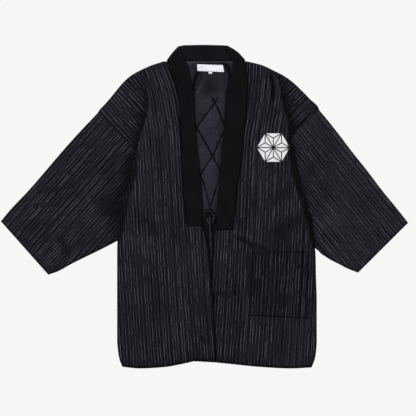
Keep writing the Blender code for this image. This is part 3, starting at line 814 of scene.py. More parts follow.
@dataclass
class Front:
    """One front with its drop shoulder: a wadded panel from the band's seam to the side."""

    side: Side
    finish: Material
    columns: int = 44
    row_step: float = 0.0042  # How far apart its rows are.
    parts: int = 4  # How many steps there are from one knot of its edges to the next.
    at_seam: Dark = Dark(0.45, 0.0022)  # Painted shade at the armhole.
    at_rim: Dark = Dark(1.0, 0.0040)  # The same at its outline.
    at_hem: Dark = Dark(1.0, HEM_EDGE[-1])  # The same at its hem.
    by_band: Dark = Dark(0.45, 0.010)  # The same beside the band.

    def __post_init__(self) -> None:
        """Draws the wadding's swells."""
        self.lumps = Lumps(11 + self.side.value, 0.0011, 0.035, 0.16)

    def waves(self, x: Array, y: Array) -> Array:
        """The height that swells and creases add, which fades at the panel's edges.

        Args:
            x: Places across the coat.
            y: Places up the coat.

        Returns:
            The added height in metres.
        """
        sign = self.side.value
        out = sign * x
        fold = sign * SIDES[self.side].read("fold", y)
        rim = sign * SIDES[self.side].read("rim", y)
        inner = sign * seam_line(self.side, y)
        clear = np.minimum(out - inner, np.maximum(fold - out, np.minimum(out - fold, rim - out)))
        weight = smooth(0.0, 0.022, clear) * smooth(0.0, 0.020, y - HEM_Y)
        return (self.lumps.at(x, y) + creased(CREASES[self.side], x, y)) * weight

    def surface(self, x: Array, y: Array) -> Array:
        """Height of its outer face, away from its edges."""
        return ON_BACK + lining_rise(x, y) + PAD + self.waves(x, y)

    def shade(self, x: Array, y: Array) -> Array:
        """The painted shade on the cloth: most beside the fold, in its creases and at its hem, with
        painted light on its ridges.

        Args:
            x: Places across the coat.
            y: Places up the coat.

        Returns:
            The darkness, and below 0 where it is lighter.
        """
        sign, table = self.side.value, SIDES[self.side]
        clear = sign * (x - table.read("fold", y))
        lapped = (clear > -0.0005) * (y > LAP_START[self.side] - 0.004)
        valley = table.read("depth", y) ** 0.4 * lapped * FRONT_SHADOW.at(np.maximum(clear, 0))
        seam = sign * (table.read("rim", y) - x)
        joined = (y > LAP_START[self.side]) * (y < ARMHOLE[self.side][0] + 0.002)
        outline = (1 - 0.75 * joined) * self.at_rim.at(np.maximum(seam, 0))
        up = y - HEM_Y
        middle = 0.18 + 0.42 * bell(x - 0.045, 0.120)
        hem = np.maximum(self.at_hem.at(np.maximum(up, 0)), middle * bell(up, HEM_SOFT))
        end = RULINGS[self.side].places[0]
        bands = self.by_band.at(x - seam_line(self.side, y)) * smooth(end - 0.010, end + 0.010, y)
        # Painted shade at the armhole, along the outline and hem, and beside the band; the creases are
        # painted darker and the ridges lighter.
        marks = joined * self.at_seam.at(seam) + np.maximum(hem, outline) + bands
        folds = creased(CREASES[self.side], x, y) / 0.0036
        return valley + marks - folds + SUNKEN.at(x, y) + TONE[self.side].read("tone", y)

    def inner_knots(self, y: float) -> Array:
        """Distance out and height share of the points beside the band's seam.

        Args:
            y: The row's height on the coat.

        Returns:
            One row for each point.
        """
        low = LIP / PAD
        start = self.side.value * float(seam_line(self.side, y)) + SEAM / 2
        end = RULINGS[self.side].places[0]
        dip = between(0.88, low, smooth(end - 0.004, end + 0.004, y))
        insets = np.array((0.0, 0.0004, 0.0014, 0.0034, ROUND))
        shares = between(dip, 1.0, crown(insets, between(0.006, ROUND, y > end)))
        return np.stack((start + insets, shares), 1)

    def fold_knots(self, fold: float, depth: float, loose: float) -> Array:
        """The same for the side's turned edge, from its top to its underside.

        Args:
            fold: The fold's distance from the middle.
            depth: How deep the fold is, from 0 to 1.
            loose: How far the edge isn't sewn down, from 0 to 1.

        Returns:
            One row for each point, its distance from the middle first.
        """
        made = []
        lean = FOLD_BULGE / PAD * depth
        for low, high in zip((90, 50, 30, 22, 15, 8, 0, -1), (90, 45, 5, -18, -38, -58, -76, -86)):
            angle = math.radians(between(low, high, loose))
            reach = ROUND if angle > 0 else 0.0035
            middle = between(LIP / PAD, 0.5, loose)
            swing = 1 - middle if angle > 0 else middle * 0.9
            height = middle + swing * math.sin(angle) + lean * max(math.sin(angle), 0)
            made.append((fold - reach * (1 - math.cos(angle)), height))
        return np.array(made)

    def lap_knots(self, fold: float, rim: float, depth: float, rim_height: float) -> Array:
        """The same over the fold, down into its valley and out to the armhole.

        Args:
            fold: The fold's distance from the middle.
            rim: The armhole's distance from the middle.
            depth: How deep the fold is, from 0 to 1.
            rim_height: The height share at the armhole.

        Returns:
            One row for each point, its distance from the middle first.
        """
        foot, run = between(1.0, 0.55, depth), rim - fold
        rise = between(foot, 1.0, float(smooth(0.015, 0.06, run)))
        return np.array((
            (fold - min(ROUND, 0.4 * abs(run) + 0.003), 1 + FOLD_BULGE / PAD * depth),
            (fold - 0.0022, between(1.0, 1.05, depth)),
            (fold, between(1.0, 0.72, depth)),
            (fold - between(-UNDERCUT, UNDERCUT, depth), between(1.0, VALLEY / PAD, depth)),
            (fold + min(0.35 * run, 0.012), foot),
            (fold + 0.7 * run, rise * float(crown(0.3 * run))),
            (rim - 0.0015, max(float(crown(0.0015)), rim_height + 0.1) * between(foot, 1.0, 0.5)),
            (rim, rim_height),
        ))

    def section(self, y: float) -> Array:
        """The closed ring of points of one row.

        Args:
            y: The row's height.

        Returns:
            The points, from the seam over the top to the side and back underneath.
        """
        sign = self.side.value
        table = SIDES[self.side]
        read = {name: float(table.read(name, y)) for name in ("rim", "fold", "depth", "loose")}
        rim, fold = sign * read["rim"], sign * read["fold"]
        on_seam = float(smooth(0.004, -0.006, y - ARMHOLE[self.side][0]))
        rim_height = between(LIP / PAD, SEAM_DIP, on_seam)
        lap = self.lap_knots(fold, rim, read["depth"], rim_height)
        turned = self.fold_knots(fold, read["depth"], read["loose"])
        lapped = float(smooth(LAP_START[self.side], LAP_START[self.side] + 0.008, y))
        outer = drawn(between(turned, lap, lapped), self.parts)
        inner = drawn(self.inner_knots(y), 2)
        inner[:, 0] = np.minimum(inner[:, 0], between(inner[0, 0], outer[0, 0], 0.45))
        middle = np.linspace(inner[-1, 0], outer[0, 0], self.columns + 2)[1:-1]
        level = np.linspace(inner[-1, 1], outer[0, 1], self.columns + 2)[1:-1]
        top = np.concatenate((inner, np.stack((middle, level), 1), outer))
        under = np.linspace(outer[-1, 0], inner[0, 0], 16)
        ring = np.concatenate((top, np.stack((under, np.zeros(16)), 1)))
        x, share = sign * ring[:, 0], ring[:, 1]
        low = LIP / PAD
        share = np.where(share < low, share, low + (share - low) * crown(y - HEM_Y))
        height = ON_BACK + lining_rise(x, y) + PAD * share
        height[: len(top)] += self.waves(x[: len(top)], np.full(len(top), y))
        lean = np.exp(-np.maximum(rim - sign * x, 0.0) / 0.0015) * (share > 0.1)
        x = x + sign * SEAM_LEAN * lapped * lean
        return np.stack((x, y + hem_lift(x, y), height), 1)

    def build(self) -> Thing:
        """Makes the panel and says what it stands for.

        Returns:
            The panel.
        """
        rows = panel_rows(self.row_step, 36)
        rings = np.stack([self.section(y) for y in rows])
        flat_y = np.repeat(rows[:, None], rings.shape[1], 1)
        warp = np.stack(front_warp(self.side, rings[..., 0], flat_y), -1)
        made = make_piece(
            f"kasuri_front_{self.side.word}", rings, skin(rings), self.finish, warp,
            seed=3.0 + self.side.value, shade=self.shade(rings[..., 0], flat_y),
        )
        return laid(made, f"front_{self.side.word}")


@dataclass
class FrontEdge:
    """The shell's own strip from the end of the black band down to the hem, beside the opening."""

    side: Side
    finish: Material

    def section(self, y: float) -> Array:
        """The closed ring of points of one row, from the seam to the opening and back under.

        Args:
            y: The row's height on the coat.

        Returns:
            The points in order, in metres.
        """
        sign = self.side.value
        seam = sign * float(seam_line(self.side, y)) - SEAM / 2
        edge = sign * float(EDGES[self.side].read("x", y))
        wide = seam - edge
        steps = np.concatenate((HEM_EDGE, np.linspace(HEM_EDGE[-1], wide - HEM_EDGE[-1], 12)[1:-1]))
        steps = np.concatenate((steps, wide - np.array(HEM_EDGE)[::-1]))
        at_seam = between(0.88, 1.0, crown(steps, 0.004))
        at_edge = between(LIP / PAD, 1.0, crown(wide - steps, 0.0055))
        end = EDGES[self.side].places[-1]
        ends = crown(y - HEM_Y) * crown(end - y + 0.0012, 0.004)
        low = LIP / PAD
        share = low + (np.minimum(at_seam, at_edge) - low) * ends
        out = seam - steps
        x = sign * np.concatenate((out, out[::-3]))
        share = np.concatenate((share, np.zeros(len(out[::-3]))))
        height = ON_BACK + lining_rise(x, y) + PAD * share
        return np.stack((x, y + hem_lift(x, y), height), 1)

    def build(self) -> Thing:
        """Makes the strip, which shares the front's solid.

        Returns:
            The strip.
        """
        end = EDGES[self.side].places[-1]
        rows = row_places(HEM_Y, end, 0.005, HEM_EDGE)
        rings = np.stack([self.section(y) for y in rows])
        down = rows[:, None]
        across = rings[..., 0] - LEAN[self.side].read("shift", down)
        warp = np.stack((across, np.repeat(down, rings.shape[1], 1)), -1)
        # Painted shade along the opening's edge, above the hem and low down beside the opening.
        edge = rings[..., 0] - EDGES[self.side].read("x", down)
        up = down - HEM_Y
        hem = np.maximum(0.85 * bell(up, HEM_EDGE[-1]), 0.5 * bell(up, HEM_SOFT))
        depth = between(0.10, 0.60, smooth(-0.34, -0.20, down))
        shade = depth * bell(edge, 0.003) + hem + SUNKEN.at(SUNKEN.x, down)
        made = make_piece(
            f"front_edge_{self.side.word}", rings, skin(rings), self.finish, warp,
            seed=8.0 + self.side.value, shade=shade,
        )
        return laid(made)


@dataclass
class Back:
    """The back, all that the coat lies on between its sleeves."""

    finish: Material
    columns: int = 60
    row_step: float = 0.0045  # How far apart its rows are.

    def section(self, y: float) -> Array:
        """The closed ring of points of one row: a flat underside with rounded rims.

        Args:
            y: The row's height on the coat.

        Returns:
            The points in order, in metres.
        """
        left, right = (float(SIDES[side].read("rim", y)) for side in Side)
        deep = PAD - 0.0016
        angles = np.radians(np.linspace(0, 90, 8))
        insets, heights = ROUND * (1 - np.cos(angles)), deep * (1 - np.sin(angles))
        inside = np.linspace(left + ROUND, right - ROUND, self.columns + 2)[1:-1]
        bottom = np.full(self.columns, 0.0)
        x = np.concatenate((left + insets, inside, (right - insets)[::-1]))
        z = np.concatenate((heights, bottom, heights[::-1]))
        swell = deep * (1 - float(crown(min(y - HEM_Y, NECK_Y - y + 0.002))))
        over = np.concatenate(([right], inside[::-2], [left]))
        x = np.concatenate((x, over))
        z = np.concatenate((np.maximum(z, swell), np.full(len(over), PAD)))
        short = BACK_SHORT * (1 - smooth(HEM_Y, HEM_Y + HEM_FADE, y))
        for side, rim in zip(Side, (left, right)):
            end, top = ARMHOLE[side][1], ARMHOLE[side][0]
            beside = float(smooth(end - 0.004, end + 0.006, y) * smooth(top + 0.004, top - 0.002, y))
            at_rim = (np.abs(x - rim) < 1e-6) & (z > PAD - 1e-4)
            x = x + side.value * SEAM_LEAN * beside * at_rim
        return np.stack((x, y + hem_lift(x, y) + short, z), 1)

    def build(self) -> Thing:
        """Makes the back and says what it stands for.

        Returns:
            The back.
        """
        rows = panel_rows(self.row_step, 34)
        rings = np.stack([self.section(y) for y in rows])
        warp = rings[..., :2].copy()
        made = make_piece("kasuri_back", rings, skin(rings), self.finish, warp, seed=14.0)
        return laid(made, "back")


# The sleeves.

SLEEVE_CREASES = {
    Side.LEFT: (
        Crease(-0.389, -0.085, -0.365, -0.140, 0.010, 0.0028),
        Crease(-0.404, -0.090, -0.384, -0.150, 0.011, -0.0018),
        Crease(-0.300, 0.130, -0.240, 0.060, 0.020, 0.0018),
        Crease(-0.290, 0.020, -0.235, -0.030, 0.020, 0.0022),
        Crease(-0.330, -0.020, -0.265, -0.075, 0.018, -0.0014),
        Crease(-0.420, 0.060, -0.370, 0.000, 0.024, 0.0014),
        Crease(-0.470, -0.040, -0.430, -0.100, 0.022, 0.0014),
    ),
    Side.RIGHT: (
        Crease(0.330, 0.150, 0.270, 0.090, 0.020, 0.0018),
        Crease(0.345, 0.050, 0.290, 0.000, 0.020, 0.0020),
        Crease(0.375, -0.020, 0.305, -0.070, 0.018, -0.0014),
        Crease(0.360, -0.100, 0.320, -0.060, 0.016, 0.0018),
        Crease(0.450, 0.030, 0.410, -0.020, 0.024, 0.0014),
        Crease(0.480, -0.060, 0.430, -0.110, 0.020, 0.0016),
    ),
}
SLEEVE_GRAIN = {Side.LEFT: 48.6, Side.RIGHT: 128.2}
SLEEVE_SPACING = 0.91

# The front's shadow on a sleeve.
SLEEVE_SHADOW = {
    Side.LEFT: FoldShadow(0.56, 0.019, 0.44, 0.036), Side.RIGHT: FoldShadow(0.58, 0.008, 0.42, 0.034)
}


def sleeve_edges(side: Side) -> list[Array]:
    """The places along a sleeve's top and along its underside, from the cuff on."""
    columns = SLEEVES[side].columns
    return [np.column_stack((columns[edge + "_x"], columns[edge + "_y"])) for edge in ("top", "under")]


@dataclass
class Sleeve:
    """One sleeve: a flattened wadded tube, open at its cuff."""

    side: Side
    finish: Material
    inside: Material
    parts: int = 10  # How many steps there are from one section to the next.
    by_edge: Dark = Dark(0.80, 0.0036)  # Painted shade at its top and its underside.
    by_cuff: Dark = Dark(0.70, 0.0042)  # The same at its cuff.
    at_seam: Dark = Dark(0.30, 0.0022)  # The same at the armhole.

    def __post_init__(self) -> None:
        """Draws the wadding's swells."""
        self.lumps = Lumps(31 + self.side.value, 0.0013, 0.035, 0.15)
        self.top, self.end = ARMHOLE[self.side]
        edge = (0.0, 0.0004, 0.0012, 0.0025, 0.0045, 0.0080)
        self.heights = row_places(self.end, self.top, 0.0060, edge)[::-1]
        self.share = (self.top - self.heights) / (self.top - self.end)

    def pressed(self, x: Array, y: Array) -> Array:
        """The flattened sleeve's height: less where the front's fold lies on it.

        Args:
            x: Places across the coat.
            y: Places up the coat.

        Returns:
            The height in metres.
        """
        clear = self.side.value * (x - SIDES[self.side].read("fold", y))
        start = LAP_START[self.side]
        held = smooth(start + 0.050, start + 0.004, y) * smooth(-0.160, -0.110, y)
        reach = 1 - smooth(0.0, PRESS_REACH, clear - 0.003)
        return between(2 * PAD + SLIT, PRESSED, held * reach)

    def armhole_line(self, gap: float, reach: float | None) -> Array:
        """A line that follows the armhole, clear of the front's fold.

        Args:
            gap: How far from the armhole it runs.
            reach: How far past that it spreads, or None where it stays beside the armhole.

        Returns:
            The points in order, in metres.
        """
        sign, table = self.side.value, SIDES[self.side]
        steep, shallow = SLEEVE_FALL[self.side]
        fall = np.zeros_like(self.share) if reach is None else between(steep, shallow, self.share)
        rim = sign * table.read("rim", self.heights)
        off = np.full_like(rim, gap)
        if reach is not None:
            spread = reach * between(1.0, 0.5, self.share)
            off = gap + spread
            for _ in range(4):
                fold = sign * table.read("fold", self.heights - off * fall)
                off = np.maximum(gap + spread, fold - rim + 0.0015 + spread)
        return np.stack((sign * (rim + off), self.heights - off * fall), 1)

    def lines(self) -> tuple[Array, Array]:
        """The sleeve's places, by section and place across, and how full each section is.

        Returns:
            The places and their fullness.
        """
        table = SLEEVES[self.side]
        rim = SIDES[self.side].read("rim", self.heights)
        bow = rim - between(rim[0], rim[-1], self.share)
        knots = []
        for place in table.places:
            cut = {name: float(table.read(name, place)) for name in table.columns}
            x = between(cut["top_x"], cut["under_x"], self.share) + cut["bend"] * bow
            knots.append(np.stack((x, between(cut["top_y"], cut["under_y"], self.share)), 1))
        for gap, reach in ((0.004, 0.016), (0.0022, 0.0), (SEAM + 0.0002, None)):
            knots.append(self.armhole_line(gap, reach))
        knots = np.stack(knots)
        grid = np.stack([drawn(knots[:, i], self.parts) for i in range(knots.shape[1])], 1)
        run = knots[1] - knots[0]
        cuff = np.array(HEM_EDGE)[:, None, None] / np.linalg.norm(run, axis=1)[None, :, None]
        far_enough = 3
        grid = np.concatenate((knots[0] + run * cuff, grid[far_enough:]))
        full = np.ones(len(grid))
        full[: len(HEM_EDGE)] = crown(np.array(HEM_EDGE), 0.009)
        full[-self.parts - 1 :] = between(1.0, SEAM_DIP, np.linspace(0, 1, self.parts + 1) ** 2)
        return grid, full

    def build(self) -> Thing:
        """Makes the sleeve and says what it stands for.

        Returns:
            The sleeve.
        """
        grid, full = self.lines()
        rings, hollow, border = [], [], []
        for row, (line, swell) in enumerate(zip(grid, full)):
            ends = np.linalg.norm(line - line[0], axis=1), np.linalg.norm(line - line[-1], axis=1)
            inset = np.minimum(*ends)
            x, y = line.T
            middle = self.pressed(x, y) / 2
            share = between(0.3, 1.0, swell) * crown(inset)
            clear = smooth(0.0, 0.03, inset) * smooth(0.0, 8.0, row)
            clear = clear * smooth(0, 6, len(grid) - 1 - row)
            waves = self.lumps.at(x, y) + creased(SLEEVE_CREASES[self.side], x, y)
            thin = middle / (PAD + SLIT / 2)
            upper = middle * (1 + share) + waves * clear * thin
            lower = middle * (1 - share)
            lean = SEAM_LEAN * float(smooth(len(grid) - 1 - self.parts, len(grid) - 1, row))
            leant = line + np.array((self.side.value * lean, 0.0))
            border.append(self.by_edge.at(inset))
            gap = SLIT / 2 * between(2.2, 1.0, swell) * crown(inset, 0.012)
            half = len(line) // 2
            target = np.where(np.arange(len(line))[:, None] < half, line[8], line[-9])
            pull = SLIT_INSET * np.clip(1 - inset / 0.010, 0, 1)
            far = np.maximum(np.linalg.norm(target - line, axis=1), 1e-9)
            drawn_in = leant + (target - line) * np.minimum(pull / far, 1.0)[:, None]
            rings.append(np.concatenate((
                np.column_stack((leant, upper)), np.column_stack((line, lower))[-2:0:-1]
            )))
            hollow.append(np.concatenate((
                np.column_stack((drawn_in, middle + gap)),
                np.column_stack((drawn_in, middle - gap))[-2:0:-1],
            )))
        ends = np.linspace(0, 1, len(grid))
        steps = np.linalg.norm(np.diff(grid, axis=0), axis=2)
        run = np.concatenate((np.zeros((1, grid.shape[1])), np.cumsum(steps, 0)))
        inset = np.where(ends[:, None] < 0.5, 1.0, run[-1] - run)
        inset = np.concatenate((inset, inset[:, -2:0:-1]), 1)
        border = np.stack(border) + self.by_cuff.at(run)
        border = np.concatenate((border, border[:, -2:0:-1]), 1)
        return self.assemble(np.stack(rings), np.stack(hollow), inset, border)

    def shade(self, x: Array, y: Array, inset: Array) -> Array:
        """The painted shade on the cloth: most beside the front's fold, at the seam and in its
        creases.

        Args:
            x: Places across the coat.
            y: Places up the coat.
            inset: Distance from the armhole.

        Returns:
            The darkness, and below 0 where it is lighter.
        """
        clear = self.side.value * (x - SIDES[self.side].read("fold", y))
        lapped = smooth(LAP_START[self.side] + 0.020, LAP_START[self.side] - 0.030, y)
        spread = SLEEVE_SHADOW[self.side].at(np.maximum(clear, 0))
        valley = lapped * spread * between(0.68, 1.0, smooth(-0.03, 0.08, y))
        seam = (1 - lapped) * self.at_seam.at(inset)
        folds = creased(SLEEVE_CREASES[self.side], x, y) / 0.0045
        return valley + seam - folds + SLEEVE_TONE[self.side]

    def assemble(self, rings: Array, hollow: Array, inset: Array, border: Array) -> Thing:
        """Joins the outside and the inside at the cuff and at the armhole.

        Args:
            rings: The outside's points.
            hollow: The inside's points, as many.
            inset: How far each point is from the armhole.
            border: The painted shade at its edges.

        Returns:
            The sleeve.
        """
        count, around = rings.shape[:2]
        outside = skin(rings, capped=False)
        start = count * around
        inside = [tuple(i + start for i in face[::-1]) for face in outside]
        rims = []
        for first in (0, (count - 1) * around):
            for i in range(around):
                j = (i + 1) % around
                rim = (first + i, first + j, start + first + j, start + first + i)
                rims.append(rim[::-1] if first == 0 else rim)
        points = np.concatenate((rings.reshape(-1, 3), hollow.reshape(-1, 3)))
        across, along = turned_warp(points[:, 0], points[:, 1], SLEEVE_GRAIN[self.side])
        warp = np.stack((across / SLEEVE_SPACING, along), -1)
        dark = self.shade(points[:, 0], points[:, 1], np.tile(inset.ravel(), 2))
        made = make_piece(
            f"kasuri_sleeve_{self.side.word}", points, outside + inside + rims, self.finish, warp,
            seed=20.0 + self.side.value, shade=dark + np.tile(border.ravel(), 2),
        )
        made.data.materials.append(self.inside)
        marks = np.zeros(len(made.data.polygons), np.int32)
        marks[len(outside) : len(outside) + len(inside)] = 1
        made.data.polygons.foreach_set("material_index", marks)
        return laid(made, f"sleeve_{self.side.word}")


# The collar band.


@dataclass
class CollarBand:
    """The plain collar: one firm strip up one front, behind the neck and down the other."""

    finish: Material
    step: float = 0.0045  # How far apart its sections are along the fronts.
    turn_steps: int = 14  # How many sections each turn at a shoulder has.
    behind_steps: int = 48  # How many sections there are behind the neck.

    def __post_init__(self) -> None:
        """Works out the section's outline, seam edge first, and the cloth's swells."""
        edge = np.array((0.0, 0.006, 0.02, 0.045, 0.08))
        across = np.concatenate((edge, np.linspace(0.08, 0.92, 17)[1:-1], 1 - edge[::-1]))
        rounded = between(0.42, 1.0, crown(np.minimum(across, 1 - across), 0.08)) / 2
        self.across = np.concatenate((across, across[::-1]))
        self.up = np.concatenate((rounded, -rounded[::-1]))
        self.lumps = Lumps(53, 0.0006, 0.03, 0.12)

    def ring(
        self, seam: Sequence[float], free: Sequence[float], normal: Sequence[float] = (0, 0, 1),
        bow: Sequence[float] = (0, 0, 0), full: float = 1.0,
    ) -> Array:
        """One closed section of the band.

        Args:
            seam: The seam edge's place.
            free: The free edge's place.
            normal: The outer face's direction.
            bow: How far the middle bows out.
            full: The share of the wall's thickness that it has.

        Returns:
            The section's points.
        """
        seam, free, normal, bow = (np.array(given, float) for given in (seam, free, normal, bow))
        line = seam + (free - seam) * self.across[:, None]
        bowed = np.sin(math.pi * self.across)[:, None] * bow
        swell = 1 + self.lumps.at(line[:, 0], line[:, 1] * 0.5) / BAND_WALL * (self.up > 0.4)
        return line + bowed + (self.up * swell * full * BAND_WALL)[:, None] * normal

    def front(self, side: Side) -> list[Array]:
        """Sections up one front, over the lining, to the turn at the shoulder.

        Args:
            side: Which front.

        Returns:
            The sections from the bottom up.
        """
        table = RULINGS[side]
        level = BAND_BASE + BAND_WALL / 2
        low, high = table.places[0], table.places[-1]
        made = []
        for y in row_places(low, high, self.step, HEM_EDGE):
            names = ("seam_x", "free_x", "free_y")
            seam_x, free_x, free_y = (float(table.read(name, y)) for name in names)
            full = between(0.5, 1.0, float(crown(y - low, 0.003)))
            made.append(self.ring((seam_x, y, level), (free_x, free_y, level), full=full))
        return made

    def ends(self, side: Side) -> tuple[Array, Array]:
        """The last straight section's seam and free places, at the shoulder.

        Args:
            side: Which front.

        Returns:
            The two places.
        """
        table = RULINGS[side]
        last = {name: table.columns[name][-1] for name in table.columns}
        return np.array((last["seam_x"], last["y"])), np.array((last["free_x"], last["free_y"]))

    def turn(self, side: Side) -> list[Array]:
        """Sections over the half turn at one shoulder, from the upper layer to the lower.

        Args:
            side: Which shoulder.

        Returns:
            The sections in order.
        """
        seam, free = self.ends(side)
        along = (free - seam) / np.linalg.norm(free - seam)
        out = np.array((side.value * along[1], -side.value * along[0]))
        middle = BAND_BASE + BAND_WALL / 2 - BAND_TURN
        made = []
        aside, up, bulge = BAND_OUT[side.value]
        for i in range(1, self.turn_steps + 1):
            angle = math.pi * i / self.turn_steps
            level = middle + BAND_TURN * math.cos(angle)
            normal = (*(out * math.sin(angle)), math.cos(angle))
            near = seam + np.array((side.value * aside, up)) * math.sin(angle)
            far = free + out * BAND_TURN * 0.80 * math.sin(angle)
            far = far + np.array((0.0, BAND_CORNER * smooth(0.35, 1.0, i / self.turn_steps)))
            bow = (*(out * bulge * math.sin(angle)), 0)
            made.append(self.ring((*near, level), (*far, level), normal, bow))
        return made

    def behind(self) -> list[Array]:
        """Sections behind the neck, where the inner face is up and the free edge stands.

        Returns:
            The sections in order.
        """
        (left_seam, left_free), (right_seam, right_free) = (self.ends(side) for side in Side)
        low = BAND_BASE + BAND_WALL / 2 - 2 * BAND_TURN
        made = []
        for share in np.linspace(0, 1, self.behind_steps + 1)[1:-1]:
            rise = math.sin(math.pi * share) ** 2
            level = float(smooth(-0.02, 0.10, share) * smooth(1.02, 0.90, share))
            base = between(left_free[1], right_free[1], share) + BAND_CORNER
            seam_x = between(left_seam[0], right_seam[0], share)
            seam = (seam_x, left_seam[1], low + NECK_SEAM_RISE * rise)
            free_x = between(left_free[0], right_free[0], share)
            free = (free_x, between(base, FREE_TOP_Y - 0.0002, level), low + BAND_RISE * rise)
            tilt = math.atan2(free[2] - seam[2], free[1] - seam[1])
            made.append(self.ring(seam, free, (0, math.sin(tilt), -math.cos(tilt))))
        return made

    def build(self) -> Thing:
        """Makes the band and says what it stands for.

        Returns:
            The band.
        """
        rings = self.front(Side.LEFT) + self.turn(Side.LEFT) + self.behind()
        rings += self.turn(Side.RIGHT)[::-1] + self.front(Side.RIGHT)[::-1]
        rings = np.stack(rings)
        along = along_line(rings[:, 0])
        warp = np.stack(np.broadcast_arrays(self.across * BAND_WIDTH, along[:, None]), -1)
        ahead = np.linspace(0, 1, len(rings))[:, None] * np.ones(len(self.across))
        count = len(self.front(Side.LEFT)), len(self.front(Side.RIGHT))
        low, high = count[0] / len(rings), 1 - count[1] / len(rings)
        inside = smooth(low - 0.02, low + 0.06, ahead) * smooth(high + 0.02, high - 0.06, ahead)
        # Painted shade along the seam and, outside the neck, along the free edge; inside the neck a
        # share below 0 gives the band its inner colour.
        at_seam = bell(self.across * BAND_WIDTH, 0.0030) * between(0.25, 0.8, inside)
        edges = 0.30 * bell((1 - self.across) * BAND_WIDTH, 0.0020) * (1 - inside)
        shade = at_seam + edges - 0.5 * inside * (self.across > 0.12)
        made = make_piece("black_collar_band", rings, skin(rings), self.finish, warp, shade=shade)
        return laid(made, "collar_band")


# The lining and the label.

LINING_CREASES = (
    Crease(-0.0030, 0.3620, -0.0330, 0.2960, 0.0042, 0.0022),
    Crease(-0.0400, 0.3900, -0.0330, 0.3250, 0.0060, -0.0022),
    Crease(0.0660, 0.2990, 0.0600, 0.3860, 0.0040, 0.0020),
    Crease(0.0050, 0.3450, 0.0200, 0.3050, 0.0090, -0.0014),
    Crease(0.0400, 0.3480, 0.0330, 0.2900, 0.0080, 0.0012),
    Crease(-0.0150, 0.1600, 0.0100, 0.1500, 0.0060, 0.0012),
    Crease(0.0350, 0.1950, 0.0500, 0.1750, 0.0060, 0.0012),
    Crease(0.0050, 0.0950, 0.0200, 0.0550, 0.0060, -0.0012),
    Crease(0.0010, 0.0350, 0.0120, 0.0000, 0.0050, 0.0016),
    Crease(0.0300, 0.0350, 0.0180, 0.0020, 0.0050, 0.0016),
)

# The quilting's diamonds: how many have been passed at each height, and where they are.
QUILTING = Table(
    "y line middle half",
    (-0.200, 3.8, 0.0165, 0.0200),
    (-0.0587, 2.5, 0.0162, 0.0216),
    (-0.0007, 2.0, 0.0157, 0.0245),
    (0.0850, 1.5, 0.0176, 0.0284),
    (0.1357, 1.0, 0.0219, 0.0320),
    (0.2113, 0.5, 0.0188, 0.0393),
    (0.2793, 0.0, 0.0278, 0.0400),
    (0.3490, -0.5, 0.0284, 0.0405),
    (0.4165, -1.0, 0.0280, 0.0405),
)


class Shadow(NamedTuple):
    """A line of painted shadow on the lining: its places and half its width."""

    places: tuple[tuple[float, float], ...]
    half: float


SHADOWS = (
    Shadow(
        (
            (-0.0145, 0.3652), (-0.0200, 0.3560), (-0.0259, 0.3436),
            (-0.0297, 0.3228), (-0.0324, 0.2977), (-0.0300, 0.2700),
        ),
        0.0044,
    ),
    Shadow(((-0.0210, 0.3862), (0.0300, 0.3858), (0.0490, 0.3850), (0.0600, 0.3790)), 0.0013),
    Shadow(
        ((0.0495, 0.3850), (0.0608, 0.3787), (0.0676, 0.3598), (0.0680, 0.3301), (0.0613, 0.3058)),
        0.0042,
    ),
    Shadow(((0.0613, 0.3058), (0.0590, 0.2860), (0.0581, 0.2688), (0.0560, 0.2300)), 0.0028),
)
# Painted shadow under the label.
UNDER_LABEL = Dim(0.012, 0.321, 0.015, 0.022, 0.60)

# Painted shadow of each band on the lining: how dark it is right beside the band, and how quickly that
# fades.
BESIDE_BAND = {Side.LEFT: (0.75, 0.0035), Side.RIGHT: (0.90, 0.0045)}


def off_line(places: Sequence[tuple[float, float]], x: Array, y: Array) -> Array:
    """How far each place is from a line through these places.

    Args:
        places: The line's corners.
        x: Places across.
        y: Places up.

    Returns:
        The distances in metres.
    """
    nearest = np.full(np.broadcast(x, y).shape, 1.0)
    for (x0, y0), (x1, y1) in zip(places, places[1:]):
        run = np.array((x1 - x0, y1 - y0))
        share = np.clip(((x - x0) * run[0] + (y - y0) * run[1]) / (run @ run), 0, 1)
        nearest = np.minimum(nearest, np.hypot(x - x0 - share * run[0], y - y0 - share * run[1]))
    return nearest


